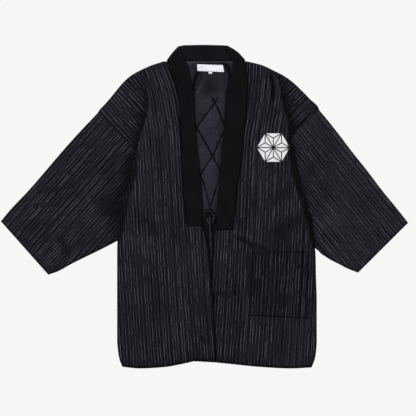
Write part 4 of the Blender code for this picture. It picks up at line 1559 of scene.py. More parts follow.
@dataclass
class Lining:
    """The quilted lining, where the neck shows it."""

    finish: Material
    columns: int = 76
    step: float = 0.0025  # How far apart its rows are.

    def __post_init__(self) -> None:
        """Draws its puckers."""
        self.swells = Lumps(71, 0.0007, 0.020, 0.070)
        self.puckers = Lumps(72, 0.0004, 0.007, 0.016)

    def edges(self, y: Number) -> tuple[Array, Array]:
        """Its left and right edges: under the bands, then under the fronts.

        Args:
            y: Places up the coat.

        Returns:
            The left edge and the right one.
        """
        tuck = 0.010
        left, right = (RULINGS[side].read("seam_x", y) - side.value * tuck for side in Side)
        low = smooth(-0.020, -0.050, y)
        return between(left, -0.012, low), between(right, 0.044, low)

    def clear(self, side: Side, x: Array, y: Array) -> Array:
        """How far a place is from this side's band, toward the middle."""
        return side.value * (RULINGS[side].read("free_x", y) - x)

    def quilting(self, x: Array, y: Array) -> Array:
        """How high a diamond stands, 0 along its stitches and 1 at its middle.

        Args:
            x: Places across the coat.
            y: Places up the coat.

        Returns:
            The height share.
        """
        across, along = self.lattice(x, y)
        one = np.abs(np.sin(math.pi * (across + along)))
        other = np.abs(np.sin(math.pi * (across - along)))
        flat = (1 - smooth(*QUILT_END, y)) * smooth(*QUILT_TIE, y)
        return (one * other) ** 0.45 * flat

    def lattice(self, x: Array, y: Array) -> tuple[Array, Array]:
        """How many diamonds across and along a place is."""
        across = (x - QUILTING.read("middle", y)) / (2 * QUILTING.read("half", y))
        return across, QUILTING.read("line", y)

    def shade(self, x: Array, y: Array) -> Array:
        """How dark the satin lies: painted shade along its folds, beside the bands, around the knot
        and behind the opening, and painted light on a few strips.

        Args:
            x: Places across the coat.
            y: Places up the coat.

        Returns:
            The darkness, and below 0 where it is lighter.
        """
        dark = np.zeros(np.broadcast(x, y).shape)
        for shadow in SHADOWS:
            off = off_line(shadow.places, x, y)
            dark = np.maximum(dark, 1 - smooth(shadow.half * 0.7, shadow.half * 1.9, off))
        for side in Side:
            share, reach = BESIDE_BAND[side]
            beside = share * np.exp(-np.maximum(self.clear(side, x, y), 0) / reach)
            dark = np.maximum(dark, beside * smooth(0.330, 0.290, y))
        # Darker below the bands' ends.
        dark_below = smooth(-0.040, -0.056, y)
        # Painted light on three lit strips: high on the left, low on the left above the knot, and
        # along the neck seam.
        light = 0.85 * smooth(0.315, 0.330, y) * smooth(-0.030, -0.038, x)
        low = smooth(0.080, 0.030, y) * smooth(-0.030, 0.000, y) * smooth(0.006, -0.002, x)
        light = light + 0.45 * low + 0.55 * smooth(0.3845, 0.3880, y)
        # Painted shadow around the knot and to its right, low in the opening.
        knot = np.exp(-(((x - 0.0165) / 0.020) ** 4) - ((y + 0.031) / 0.024) ** 4)
        beyond = 0.55 * smooth(0.018, 0.030, x) * smooth(0.040, 0.005, y)
        for more in (dark_below, UNDER_LABEL.at(x, y), knot, beyond):
            dark = np.maximum(dark, more)
        return dark - light

    def surface(self, x: Array, y: Array) -> Array:
        """Height of its face.

        Args:
            x: Places across the coat.
            y: Places up the coat.

        Returns:
            The height in metres.
        """
        left, right = self.edges(y)
        top, bottom = LINING_HEAD, LINING_FOOT
        inset = np.minimum(np.minimum(x - left, right - x), np.minimum(y - bottom, top - y))
        wall = LINING_WALL * between(0.4, 1.0, crown(inset, 0.004))
        clear = np.minimum(*(self.clear(side, x, y) for side in Side))
        free = smooth(0.0, 0.012, clear) * smooth(-0.005, 0.030, y)
        relief = self.swells.at(x, y) + self.puckers.at(x, y) + creased(LINING_CREASES, x, y)
        puff = between(QUILT_COVERED, QUILT, free) * self.quilting(x, y)
        return ON_BACK + wall + (puff + relief * free) * smooth(0.0, 0.008, inset)

    def build(self) -> Thing:
        """Makes the lining and says what it stands for.

        Returns:
            The lining.
        """
        rows = row_places(LINING_FOOT, LINING_HEAD, self.step, (0.0, 0.0006, 0.0012, 0.0022, 0.0036))
        edge = np.array((0.0, 0.001, 0.0022, 0.004))
        rings = []
        for y in rows:
            left, right = (float(side) for side in self.edges(y))
            inside = np.linspace(left + 0.004, right - 0.004, self.columns)[1:-1]
            x = np.concatenate((left + edge, inside, (right - edge)[::-1]))
            top = self.surface(x, np.full(len(x), y))
            under = x[::-9]
            x = np.concatenate((x, [right], under, [left]))
            z = np.concatenate((top, np.full(len(under) + 2, ON_BACK)))
            rings.append(np.stack((x, np.full(len(x), y), z), 1))
        count = min(len(ring) for ring in rings)
        rings = np.stack([ring[:count] for ring in rings])
        warp = np.stack(self.lattice(rings[..., 0], rings[..., 1]), -1)
        shade = self.shade(rings[..., 0], rings[..., 1])
        made = make_piece("quilted_lining", rings, skin(rings), self.finish, warp, shade=shade)
        return laid(made, "lining")


@dataclass
class Patch:
    """A flat four-sided piece of cloth that follows the face it is sewn to."""

    name: str
    node: str
    slot: str
    finish: Material
    corners: tuple[tuple[float, float], ...]  # Its bottom left, bottom right, top right and top left.
    wall: float  # How thick it is.
    under: Callable[[Array, Array], Array]  # The height of the face that it lies on.
    # How far it stands off that face, from its shares across and up.
    lift: Callable[[Array, Array], Array]
    steps: tuple[int, int] = (24, 8)  # How many columns and rows it has.
    edge: float = 0.0006  # How far in its edge is rounded.
    seed: float = 40.0  # The number of its stripes.

    def place(self, across: Array, up: Array) -> tuple[Array, Array]:
        """The place at these shares across and up.

        Args:
            across: Shares of its width.
            up: Shares of its height.

        Returns:
            The place across and the place up.
        """
        low_left, low_right, high_right, high_left = (np.array(c) for c in self.corners)
        low = between(low_left[:, None], low_right[:, None], across)
        high = between(high_left[:, None], high_right[:, None], across)
        x, y = between(low, high, up)
        return x, y

    def surface(self, x: Array, y: Array) -> Array:
        """Height of its face, away from its edges.

        Args:
            x: Places across the coat.
            y: Places up the coat.

        Returns:
            The height in metres.
        """
        low_left, _, high_right, _ = self.corners
        across = np.clip((x - low_left[0]) / (high_right[0] - low_left[0]), 0, 1)
        up = np.clip((y - low_left[1]) / (high_right[1] - low_left[1]), 0, 1)
        return self.under(x, y) + SEAM + self.lift(across, up) + self.wall

    def build(self) -> Thing:
        """Makes the patch and says what it stands for.

        Returns:
            The patch.
        """
        wide = abs(self.corners[1][0] - self.corners[0][0])
        tall = abs(self.corners[2][1] - self.corners[1][1])
        soft = self.edge * np.array((0.0, 0.25, 0.6, 1.0))
        across = row_places(0, 1, 1 / self.steps[0], soft / wide)
        up = row_places(0, 1, 1 / self.steps[1], soft / tall)
        rings, dark = [], []
        for share in up:
            x, y = self.place(across, np.full(len(across), share))
            inset = np.minimum(np.minimum(across, 1 - across) * wide, min(share, 1 - share) * tall)
            # Painted shadow under the pocket's mouth and along its edges, fading toward its left side.
            mouth = 0.75 * bell((1 - share) * tall, 0.0075)
            edges = np.maximum(0.45 * bell(inset, 0.0020), mouth)
            edges = edges * between(0.15, 0.95, smooth(0.08, 0.55, across))
            dark.append(np.concatenate((edges, edges[::-1])))
            base = self.under(x, y) + SEAM + self.lift(across, np.full(len(across), share))
            top = base + self.wall * between(0.35, 1.0, crown(inset, self.edge))
            face, bottom = np.stack((x, y, top), 1), np.stack((x, y, base), 1)
            rings.append(np.concatenate((face, bottom[::-1])))
        rings = np.stack(rings)
        warp = rings[..., :2].copy()
        warp[..., 0] -= LEAN[Side.RIGHT].read("shift", warp[..., 1])
        faces = skin(rings)
        made = make_piece(self.name, rings, faces, self.finish, warp, self.seed, shade=np.stack(dark))
        return laid(made, self.node)


# The ties.


# Each tie's route, along the middle of its thickness.
TIES = {
    Side.LEFT: (
        (0.0004, -0.0135, ON_LINING),
        (0.0065, -0.0095, ON_LINING),
        (0.0155, -0.0110, ON_LINING),
        (0.0240, -0.0185, ON_LINING),
        (0.0265, -0.0300, ON_LINING),
        (0.0230, -0.0415, ON_LINING),
        (0.0150, -0.0465, ON_LINING),
        (0.0070, -0.0425, ON_LINING),
        (0.0040, -0.0330, ON_LINING),
        (0.0060, -0.0245, ON_LINING),
    ),
    Side.RIGHT: (
        (0.0150, -0.0220, ON_LINING),
        (0.0150, -0.0330, ON_LINING),
        (0.0150, -0.0395, OVER_LOOP + 0.0008),
        (0.0150, -0.0465, OVER_LOOP + 0.0012),
        (0.0153, -0.0530, OVER_LOOP + 0.0004),
        (0.0160, -0.0640, ON_LINING),
        (0.0172, -0.0820, IN_OPENING),
        (0.0182, -0.1050, IN_OPENING),
        (0.0188, -0.1250, IN_OPENING),
        (0.0188, -0.1460, IN_OPENING),
    ),
}


@dataclass
class Tie:
    """One tie: a narrow folded strip of the shell's cloth."""

    side: Side
    finish: Material
    parts: int = 9  # How many steps there are from one point of its route to the next.

    @property
    def light(self) -> float:
        """How far its light stripe lies to one side, as a share of its half width."""
        return 0.40 if self.side is Side.LEFT else 0.0

    def build(self) -> Thing:
        """Makes the tie and says what it stands for.

        Returns:
            The tie.
        """
        route = wound(np.array(TIES[self.side]), self.parts)
        ahead = np.gradient(route[:, :2], axis=0)
        ahead /= np.maximum(np.linalg.norm(ahead, axis=1), 1e-9)[:, None]
        side = np.stack((-ahead[:, 1], ahead[:, 0]), 1)
        angles = np.linspace(0, 2 * math.pi, 17)[:-1]
        wide, tall = np.cos(angles), np.sin(angles)
        wide, tall = np.sign(wide) * np.abs(wide) ** 0.7, np.sign(tall) * np.abs(tall) ** 0.7
        along = along_line(route)
        fold = 1 - 0.22 * bell(wide - 0.15, 0.22) * (tall > 0)
        rings = []
        for point, aside, far in zip(route, side, along):
            narrow = 1 + 0.10 * math.sin(far * 190 + self.side.value)
            plan = point[:2] + aside * (wide * TIE_WIDTH / 2 * narrow)[:, None]
            rings.append(np.column_stack((plan, point[2] + tall * fold * TIE_WALL / 2)))
        rings = np.stack(rings)
        across = wide + self.light
        warp = np.stack(np.broadcast_arrays(across * TIE_WIDTH * 0.55, along[:, None]), -1)
        # Painted shade on the tie's sides away from its light stripe, and at its end.
        end = smooth(along[-1] - 0.010, along[-1], along)[:, None]
        shade = np.maximum(np.abs(across) ** 2 * 0.7, end)
        made = make_piece(
            f"knotted_tie_{self.side.word}", rings, skin(rings), self.finish, warp, shade=shade,
            seed=50.0 + self.side.value,
        )
        return laid(made, f"tie_{self.side.word}")


# Stitches.


@dataclass
class Stitching:
    """Running stitches along lines on a face: one small rounded thread for each."""

    name: str
    slot: str
    finish: Material
    length: float = 0.0032  # How long a stitch is.
    gap: float = 0.0014  # How far apart two stitches are.
    thick: float = 0.0006  # The thread's diameter.

    def build(
        self, lines: Sequence[Sequence[tuple[float, float]]], height: Callable[[Array, Array], Array]
    ) -> Thing:
        """Makes all the stitches as one piece.

        Args:
            lines: The lines that they follow, as places on the face.
            height: The face's height at a place.

        Returns:
            The piece.
        """
        stations = np.array((-0.5, -0.42, -0.15, 0.15, 0.42, 0.5)) * self.length
        radii = np.array((0.25, 0.8, 1.0, 1.0, 0.8, 0.25)) * self.thick / 2
        dips = np.array((-0.8, -0.1, 0.35, 0.35, -0.1, -0.8)) * self.thick / 2
        angles = np.linspace(0, 2 * math.pi, 7)[:-1]
        points, faces = [], []
        for line in lines:
            for (x0, y0), (x1, y1) in zip(line, line[1:]):
                span = math.dist((x0, y0), (x1, y1))
                count = max(int(span / (self.length + self.gap)), 1)
                run = np.array((x1 - x0, y1 - y0)) / span
                aside = np.array((-run[1], run[0]))
                for i in range(count):
                    middle = np.array((x0, y0)) + run * span * (i + 0.5) / count
                    at = middle + run * stations[:, None]
                    level = height(at[:, 0], at[:, 1]) + dips
                    plan = at[:, None] + aside * (radii[:, None] * np.cos(angles))[..., None]
                    tall = level[:, None] + radii[:, None] * np.sin(angles)
                    ring = np.concatenate((plan, tall[..., None]), -1)
                    start = len(points) * ring.shape[0] * ring.shape[1]
                    made = skin(ring)
                    faces += [tuple(corner + start for corner in face) for face in made]
                    points.append(ring)
        return laid(make_piece(self.name, np.stack(points), faces, self.finish))


# Finishes.


def worked(operation: str, swapped: bool = False) -> "Callable[..., Field]":
    """A method of a field that works out one operation.

    Args:
        operation: The operation of the Math node that it adds.
        swapped: Whether the other value comes first.

    Returns:
        The method.
    """

    def work(field: "Field", *others: "Value") -> "Field":
        """Works it out with the other value, if there is one."""
        values = (*others, field) if swapped else (field, *others)
        return field.bench.maths(operation, *values)

    return work


class Field:
    """A value that changes over a surface. Arithmetic on it adds the nodes that work it out."""

    def __init__(self, bench: "Bench", source: bpy.types.NodeSocket) -> None:
        """Keeps the socket that gives it, and where its nodes are."""
        self.bench, self.source = bench, source

    __add__, __radd__ = worked("ADD"), worked("ADD", swapped=True)
    __sub__, __rsub__ = worked("SUBTRACT"), worked("SUBTRACT", swapped=True)
    __mul__, __rmul__ = worked("MULTIPLY"), worked("MULTIPLY", swapped=True)
    __truediv__, __rtruediv__ = worked("DIVIDE"), worked("DIVIDE", swapped=True)
    __gt__, __abs__ = worked("GREATER_THAN"), worked("ABSOLUTE")
    least, most = worked("MINIMUM"), worked("MAXIMUM")
    floor, part, sine = worked("FLOOR"), worked("FRACT"), worked("SINE")

    def rise(self, low: float, high: float) -> "Field":
        """0 at low and 1 at high, softly between them; it falls where low is the larger.

        Args:
            low: The value that gives 0.
            high: The value that gives 1.

        Returns:
            The share.
        """
        ends = {"From Min": min(low, high), "From Max": max(low, high)}
        ends |= {"To Min": float(low > high), "To Max": float(low <= high)}
        return self.bench.node(
            "MapRange", {"interpolation_type": "SMOOTHSTEP"}, {"Value": self, **ends}
        )


Value = Union[Field, float]
Colour = tuple[float, float, float]


class Bench:
    """Where one material's nodes are put together."""

    def __init__(self, name: str) -> None:
        """Starts an empty material with a shader.

        Args:
            name: The material's name.
        """
        self.material = bpy.data.materials.new(name)
        self.material.use_nodes = True
        self.tree = self.material.node_tree
        self.tree.nodes.clear()
        self.shader = self.tree.nodes.new("ShaderNodeBsdfPrincipled")
        output = self.tree.nodes.new("ShaderNodeOutputMaterial")
        self.tree.links.new(self.shader.outputs[0], output.inputs[0])

    def feed(self, socket: bpy.types.NodeSocket, value: "Value | Colour") -> None:
        """Links a field to a socket, or sets the socket to a plain value."""
        if isinstance(value, Field):
            self.tree.links.new(value.source, socket)
        elif isinstance(value, tuple) and len(socket.default_value) == 4:
            socket.default_value = (*value, 1.0)
        else:
            socket.default_value = value

    def node(
        self, kind: str, settings: Mapping[str, object],
        sockets: Mapping[str | int, "Value | Colour"], output: str | int = 0,
    ) -> Field:
        """Adds a node.

        Args:
            kind: The node's type, without its usual start.
            settings: What is set on it first.
            sockets: The values or links of its sockets.
            output: The socket that is wanted from it.

        Returns:
            That socket's value.
        """
        made = self.tree.nodes.new("ShaderNode" + kind)
        for name, setting in settings.items():
            setattr(made, name, setting)
        for name, value in sockets.items():
            self.feed(made.inputs[name], value)
        return Field(self, made.outputs[output])

    def maths(self, operation: str, *values: Value) -> Field:
        """Works out a sum of one or two values."""
        return self.node("Math", {"operation": operation}, dict(enumerate(values)))

    def place(self, name: str) -> tuple[Field, Field, Field]:
        """The three parts of a place: of the cloth's own, or of the object where name is empty."""
        if name:
            given = self.node("Attribute", {"attribute_name": name}, {}, "Vector")
        else:
            given = self.node("TexCoord", {}, {}, "Object")
        return self.split(given)

    def shade(self) -> Field:
        """The painted shade that the piece carries."""
        return self.node("Attribute", {"attribute_name": "shade"}, {}, "Fac")

    def split(self, given: Field) -> tuple[Field, Field, Field]:
        """The three parts of a vector.

        Args:
            given: The vector.

        Returns:
            Its x, y and z.
        """
        first = self.node("SeparateXYZ", {}, {0: given})
        x, y, z = (Field(self, part) for part in first.source.node.outputs)
        return x, y, z

    def joined(self, x: Value, y: Value, z: Value = 0.0) -> Field:
        """A place from its three parts."""
        return self.node("CombineXYZ", {}, {0: x, 1: y, 2: z})

    def chance(self, x: Value, y: Value = 0.0, z: Value = 0.0) -> Field:
        """An even number from 0 to 1 for each whole place."""
        return self.node("TexWhiteNoise", {}, {"Vector": self.joined(x, y, z)}, "Value")

    def draws(self, x: Value, y: Value, z: Value) -> tuple[Field, Field, Field]:
        """Three even numbers from 0 to 1 for each whole place."""
        place = self.joined(x, y, z)
        return self.split(self.node("TexWhiteNoise", {}, {"Vector": place}, "Color"))

    def cloud(self, x: Value, y: Value, z: Value = 0.0, detail: float = 2.0) -> Field:
        """Soft noise around 0.5, about one lump for each unit."""
        settings = {"Vector": self.joined(x, y, z), "Scale": 1.0, "Detail": detail}
        return self.node("TexNoise", {}, settings)

    def mixed(self, low: "Field | Colour", high: "Field | Colour", share: Value) -> Field:
        """A colour this share of the way from low to high."""
        return self.node("Mix", {"data_type": "RGBA"}, {0: share, 6: low, 7: high}, 2)

    def bumped(self, height: Field, strength: float = 1.0) -> None:
        """Lets a height in metres shape the shader's normal."""
        normal = self.node("Bump", {}, {"Height": height, "Strength": strength, "Distance": 1.0})
        self.feed(self.shader.inputs["Normal"], normal)

    def dress(self, **sockets: "Value | Colour") -> None:
        """Feeds the shader's sockets, whose names have _ for their spaces."""
        for name, value in sockets.items():
            self.feed(self.shader.inputs[name.replace("_", " ")], value)


@dataclass(frozen=True)
class Crest:
    """A printed hexagon of the old hemp-leaf pattern."""

    x: float = 0.185
    y: float = 0.1590
    radius: float = 0.0440  # From its middle to a corner.
    line: float = 0.0013  # Half the width of its lines.

    def masks(self, bench: Bench) -> tuple[Field, Field]:
        """How much of the print there is at a place, and how much of that is line.

        Args:
            bench: The material it is printed on.

        Returns:
            The hexagon's mask and the lines' mask.
        """
        x, y, _ = bench.place("")
        east, north = x - self.x, y - self.y
        away = bench.maths("SQRT", east * east + north * north)
        sixth = math.pi / 3
        turn = bench.maths("ARCTAN2", north, east) / sixth
        folded = abs(turn.part() - 0.5) * sixth
        out, up = away * bench.maths("COSINE", folded), away * folded.sine()
        half = self.radius * math.sqrt(3) / 2
        rim = half - out
        spoke = abs(bench.maths("SINE", math.pi / 6 - folded)) * away
        middle = up + (out > self.radius / math.sqrt(3)) * 1.0
        leaf = abs(out * 0.8660 - up * 0.5 - self.radius * 0.5)
        nearest = spoke.least(middle).least(leaf)
        soft = 0.0004
        lines = nearest.rise(self.line + soft, self.line - soft)
        return rim.rise(-soft, soft), lines


class Dashes(NamedTuple):
    """One kind of dash along the stripes."""

    period: float  # From one dash's start to the next.
    scatter: float  # How far neighbours are out of step, as a share of the period.
    least: float  # The shortest dash, as a share of the period.
    blank: float  # The share of a group's dashes that are left out together.
    gone: float  # The share of single dashes that are left out.
    salt: float  # A number of its own for its draws.


@dataclass(frozen=True)
class KasuriCloth:
    """Dark cotton with broken rain stripes that run in small groups."""

    name: str
    ground: Colour = (0.0082, 0.0075, 0.0115)  # The cloth's colour.
    dash: Colour = (0.083, 0.081, 0.101)  # The stripes' colour.
    spacing: float = 0.0083  # From one stripe to the next.
    period: float = 0.066  # From one group's start to the next start above it.
    crest: Crest | None = None  # A print on it, or None.

    def dashes(self, bench: Bench, across: Field, along: Field, seed: Field) -> tuple[Field, Field]:
        """How strongly a stripe shows at a place.

        Args:
            bench: The material's nodes.
            across: The place across the cloth.
            along: The place along it.
            seed: The panel's own number.

        Returns:
            The stripe's share, and how dark the cloth is beside it.
        """
        sway = bench.cloud(across / 0.03, along / 0.04, seed, 1.0) - 0.5
        lines = across / self.spacing + sway * 0.45 + 200.5
        line = lines.floor()
        aside = lines.part() - bench.chance(line, seed, 13.0) * 0.54 - 0.23
        pair = (line / 7).floor()
        group = pair * 2 + ((line / 7).part() > bench.chance(pair, seed, 2.0) * 0.5 + 0.25)
        place = (line, group, along, seed)
        long = self.row(bench, place, Dashes(self.period, 0.22, 0.40, 0.10, 0.08, 10.0))
        short = self.row(bench, place, Dashes(self.period * 0.62, 0.70, 0.30, 0.16, 0.22, 30.0))
        half = bench.chance(line, seed, 9.0) * 0.05 + 0.045
        body = (abs(aside) - half).rise(0.08, -0.03)
        fibre = bench.cloud(across / 0.0011, along / 0.0042, seed) * 1.2 + 0.42
        swell = bench.cloud(line * 3.7, along / 0.015, seed, 0.0) * 1.5 + 0.3
        shown = (long.most(short * 0.70) * swell).most(0.11)
        gap = abs(aside).rise(0.17, 0.32) * (shown * 1.6).least(1.0)
        return shown * body * fibre, gap

    def row(self, bench: Bench, place: tuple[Field, Field, Field, Field], dashes: Dashes) -> Field:
        """How strongly one kind of dash shows along each stripe.

        Args:
            bench: The material's nodes.
            place: The stripe's number, its group's, the place along it and the panel's number.
            dashes: The kind.

        Returns:
            The dashes' share.
        """
        line, group, along, seed = place
        salt = seed + dashes.salt
        quick, ahead, _ = bench.draws(group, salt, 1.0)
        drift = bench.cloud(line / 4, along / 0.13, salt, 0.0) * 0.3
        own = bench.chance(line, salt, 2.0) * dashes.scatter
        run = along / dashes.period * (quick * 0.6 + 0.7) + ahead * 3 + drift + own + 60
        cell, share = run.floor(), run.part()
        late, long, blank = bench.draws(group, cell, salt + 3)
        loose, gone, bright = bench.draws(line, cell, salt + 4)
        start = late * 0.18 + loose * 0.18
        end = start + long * 0.34 + (bright * 7.3).part() * 0.24 + dashes.least
        within = (share - start).rise(-0.02, 0.08) * (share - end).rise(0.07, -0.05)
        kept = (gone > dashes.gone) * (blank > dashes.blank)
        return within * kept * (bright * 0.75 + 0.25)

    def shaded(self, bench: Bench, colour: Field) -> Field:
        """The colour with its painted shade: darker in the folds and lighter on the ridges.

        Args:
            bench: The material's bench.
            colour: The colour so far.

        Returns:
            The shaded colour.
        """
        shade = bench.shade()
        deep = tuple(channel * 0.14 for channel in self.ground)
        darker = bench.mixed(colour, deep, shade.most(0.0) * 0.94)
        return bench.mixed(darker, self.dash, (0 - shade).most(0.0) * 0.16)

    def build(self) -> Material:
        """Makes the material.

        Returns:
            The material.
        """
        bench = Bench(self.name)
        across, along, seed = bench.place("warp")
        shown, beside = self.dashes(bench, across, along, seed)
        slub = bench.cloud(across / 0.0017, along / 0.010, seed)
        streak = bench.cloud(across / 0.0028, along / 0.022, seed + 20, 1.0)
        worn = bench.cloud(across / 0.06, along / 0.09, seed + 30, 3.0)
        depth = (slub - 0.5) * 1.4 + (streak - 0.5) * 1.5 + (worn - 0.5) * 1.2
        light = tuple(channel * 1.9 for channel in self.ground)
        dark = tuple(channel * 0.45 for channel in self.ground)
        ground = bench.mixed(dark, light, depth + 0.60 - beside * 0.70)
        colour = bench.mixed(ground, self.dash, shown.least(1.0))
        rough = worn * 0.08 + 0.84
        if self.crest is not None:
            printed, lines = self.crest.masks(bench)
            faded = bench.cloud(across / 0.02, along / 0.03, 3.0, 3.0).rise(0.1, 0.6) * 0.04 + 0.96
            weave = (bench.cloud(across / 0.0011, along / 0.003, 5.0) - 0.5) * 0.16
            white = bench.mixed((0.60, 0.60, 0.62), (0.86, 0.86, 0.88), faded + weave)
            colour = bench.mixed(colour, bench.mixed(white, ground, lines), printed)
        pitch = 0.0013
        over = (across * (2 * math.pi / pitch)).sine() * (along * (2 * math.pi / pitch)).sine()
        bench.bumped(over * 0.00005 + slub * 0.00013)
        colour = self.shaded(bench, colour)
        bench.dress(Base_Color=colour, Roughness=rough, Specular_IOR_Level=0.08)
        return bench.material


@dataclass(frozen=True)
class BandCloth:
    """The collar's plain matt black cotton, a firm close twill."""

    name: str = "black_twill"
    colour: Colour = (0.0044, 0.0043, 0.0051)
    inner: Colour = (0.0118, 0.0098, 0.0148)  # Its colour inside the neck.
    pitch: float = 0.0016  # From one twill line to the next.

    def build(self) -> Material:
        """Makes the material.

        Returns:
            The material.
        """
        bench = Bench(self.name)
        across, along, _ = bench.place("warp")
        worn = bench.cloud(across / 0.03, along / 0.05, 1.0, 4.0)
        lint = bench.cloud(across / 0.0016, along / 0.0016, 2.0)
        light = tuple(channel * 1.7 for channel in self.colour)
        dark = tuple(channel * 0.6 for channel in self.colour)
        share = (worn - 0.5) * 1.2 + (lint - 0.5) * 0.6 + 0.42
        twill = ((across + along) * (2 * math.pi / self.pitch)).sine()
        bench.bumped(twill * 0.00005 + lint * 0.00004)
        # Below 0 the shade attribute gives the inner colour; above 0 it is painted shade toward black.
        shade = bench.shade()
        cloth = bench.mixed(bench.mixed(dark, light, share), self.inner, (0 - shade).most(0.0))
        black = tuple(channel * 0.25 for channel in self.colour)
        cloth = bench.mixed(cloth, black, shade.most(0.0))
        bench.dress(Base_Color=cloth, Roughness=worn * 0.1 + 0.82)
        bench.dress(Specular_IOR_Level=0.06)
        return bench.material


@dataclass(frozen=True)
class QuiltedSatin:
    """The lining's dark glossy satin, with black stitches along its diamonds and painted shade in the
    troughs beside them.
    """

    name: str = "quilted_satin"
    colour: Colour = (0.0440, 0.0378, 0.0650)
    sides: Colour = (0.0365, 0.0330, 0.0450)  # Its colour beside the bands.
    head: Colour = (0.0290, 0.0238, 0.0370)  # Its colour at the neck.
    thread: Colour = (0.0018, 0.0017, 0.0022)  # The stitches' colour, also the colour of the painted shade.
    stitch: float = 0.0046  # How long a stitch is, with the gap after it.

    def build(self) -> Material:
        """Makes the material.

        Returns:
            The material.
        """
        bench = Bench(self.name)
        x, y, _ = bench.place("")
        across, along, _ = bench.place("warp")
        shaken = (bench.cloud(x / 0.018, y / 0.018, 4.0) - 0.5) * 0.0028
        one = abs((across + along + 20.5).part() - 0.5) * QUILT_PITCH
        other = abs((across - along + 20.5).part() - 0.5) * QUILT_PITCH
        nearest = one.least(other) + shaken * 0.6
        sewn = y.rise(QUILT_SEEN[1], QUILT_SEEN[0])
        gap = (y / self.stitch + (one > other) * 0.5 + 100).part()
        thread = nearest.rise(0.0009, 0.0004) * gap.rise(0.92, 0.80) * gap.rise(0.0, 0.10) * sewn
        uneven = bench.cloud(x / 0.009, y / 0.009, 14.0) * 0.0044 - 0.0020
        high = y.rise(0.268, 0.330)
        # Painted shade in the troughs along the quilting lines.
        trough = (nearest + uneven + high * 0.0012).rise(0.0044, 0.0012) * sewn
        cloudy = bench.cloud(x / 0.03, y / 0.04, 8.0, 4.0)
        fine = bench.cloud(x / 0.0007, y / 0.006, 9.0)
        shade = bench.shade()
        # A shade below 0 is painted light that brightens the satin.
        share = (cloudy - 0.5) * 1.2 + (fine - 0.5) * 0.3 + 0.5 - shade.least(0.0)
        middle = abs(x - 0.012).rise(0.040, 0.010)
        tint = bench.mixed(self.sides, self.colour, middle)
        tint = bench.mixed(tint, self.head, high)
        satin = bench.mixed((0.0, 0.0, 0.0), tint, share * 0.45 + 0.225)
        # Painted shade: the troughs and the shade attribute darken the satin toward the thread's
        # colour.
        satin = bench.mixed(satin, self.thread, (trough * 0.94).most(shade.most(0.0)) * 0.88)
        pucker = bench.cloud(x / 0.008, y / 0.008, 6.0, 2.0) * nearest.rise(0.014, 0.001) * sewn
        bench.bumped(pucker * 0.0008 + fine * 0.00003 - nearest.rise(0.0022, 0.0) * sewn * 0.0007)
        bench.dress(Base_Color=bench.mixed(satin, self.thread, thread))
        bare = 1 - trough.most(shade.most(0.0)).least(1.0)
        bench.dress(Roughness=cloudy * 0.10 + 0.50, Specular_IOR_Level=0.04)
        bench.dress(Coat_Weight=bare * 0.22, Coat_Roughness=0.46)
        return bench.material


@dataclass(frozen=True)
class LabelWeave:
    """The label's close white weave, left blank."""

    name: str = "label_white"
    colour: Colour = (0.91, 0.90, 0.99)

    def build(self) -> Material:
        """Makes the material.

        Returns:
            The material.
        """
        bench = Bench(self.name)
        x, y, _ = bench.place("warp")
        pitch = 0.0007
        weave = (x * (2 * math.pi / pitch)).sine() * (y * (2 * math.pi / pitch)).sine()
        soiled = bench.cloud(x / 0.012, y / 0.008, 2.0, 4.0)
        dark = tuple(channel * 0.80 for channel in self.colour)
        bench.bumped(weave * 0.00003 + soiled * 0.0002)
        bench.dress(Base_Color=bench.mixed(dark, self.colour, soiled.rise(0.15, 0.55)))
        bench.dress(Roughness=soiled * 0.1 + 0.6, Specular_IOR_Level=0.3)
        return bench.material


@dataclass(frozen=True)
class Thread:
    """Sewing thread."""

    name: str
    colour: Colour

    def build(self) -> Material:
        """Makes the material.

        Returns:
            The material.
        """
        bench = Bench(self.name)
        x, y, _ = bench.place("")
        twist = bench.cloud(x / 0.0006, y / 0.0006)
        dark = tuple(channel * 0.6 for channel in self.colour)
        bench.dress(Base_Color=bench.mixed(dark, self.colour, twist.rise(0.3, 0.6)))
        bench.dress(Roughness=0.7, Specular_IOR_Level=0.2)
        return bench.material


# The studio.


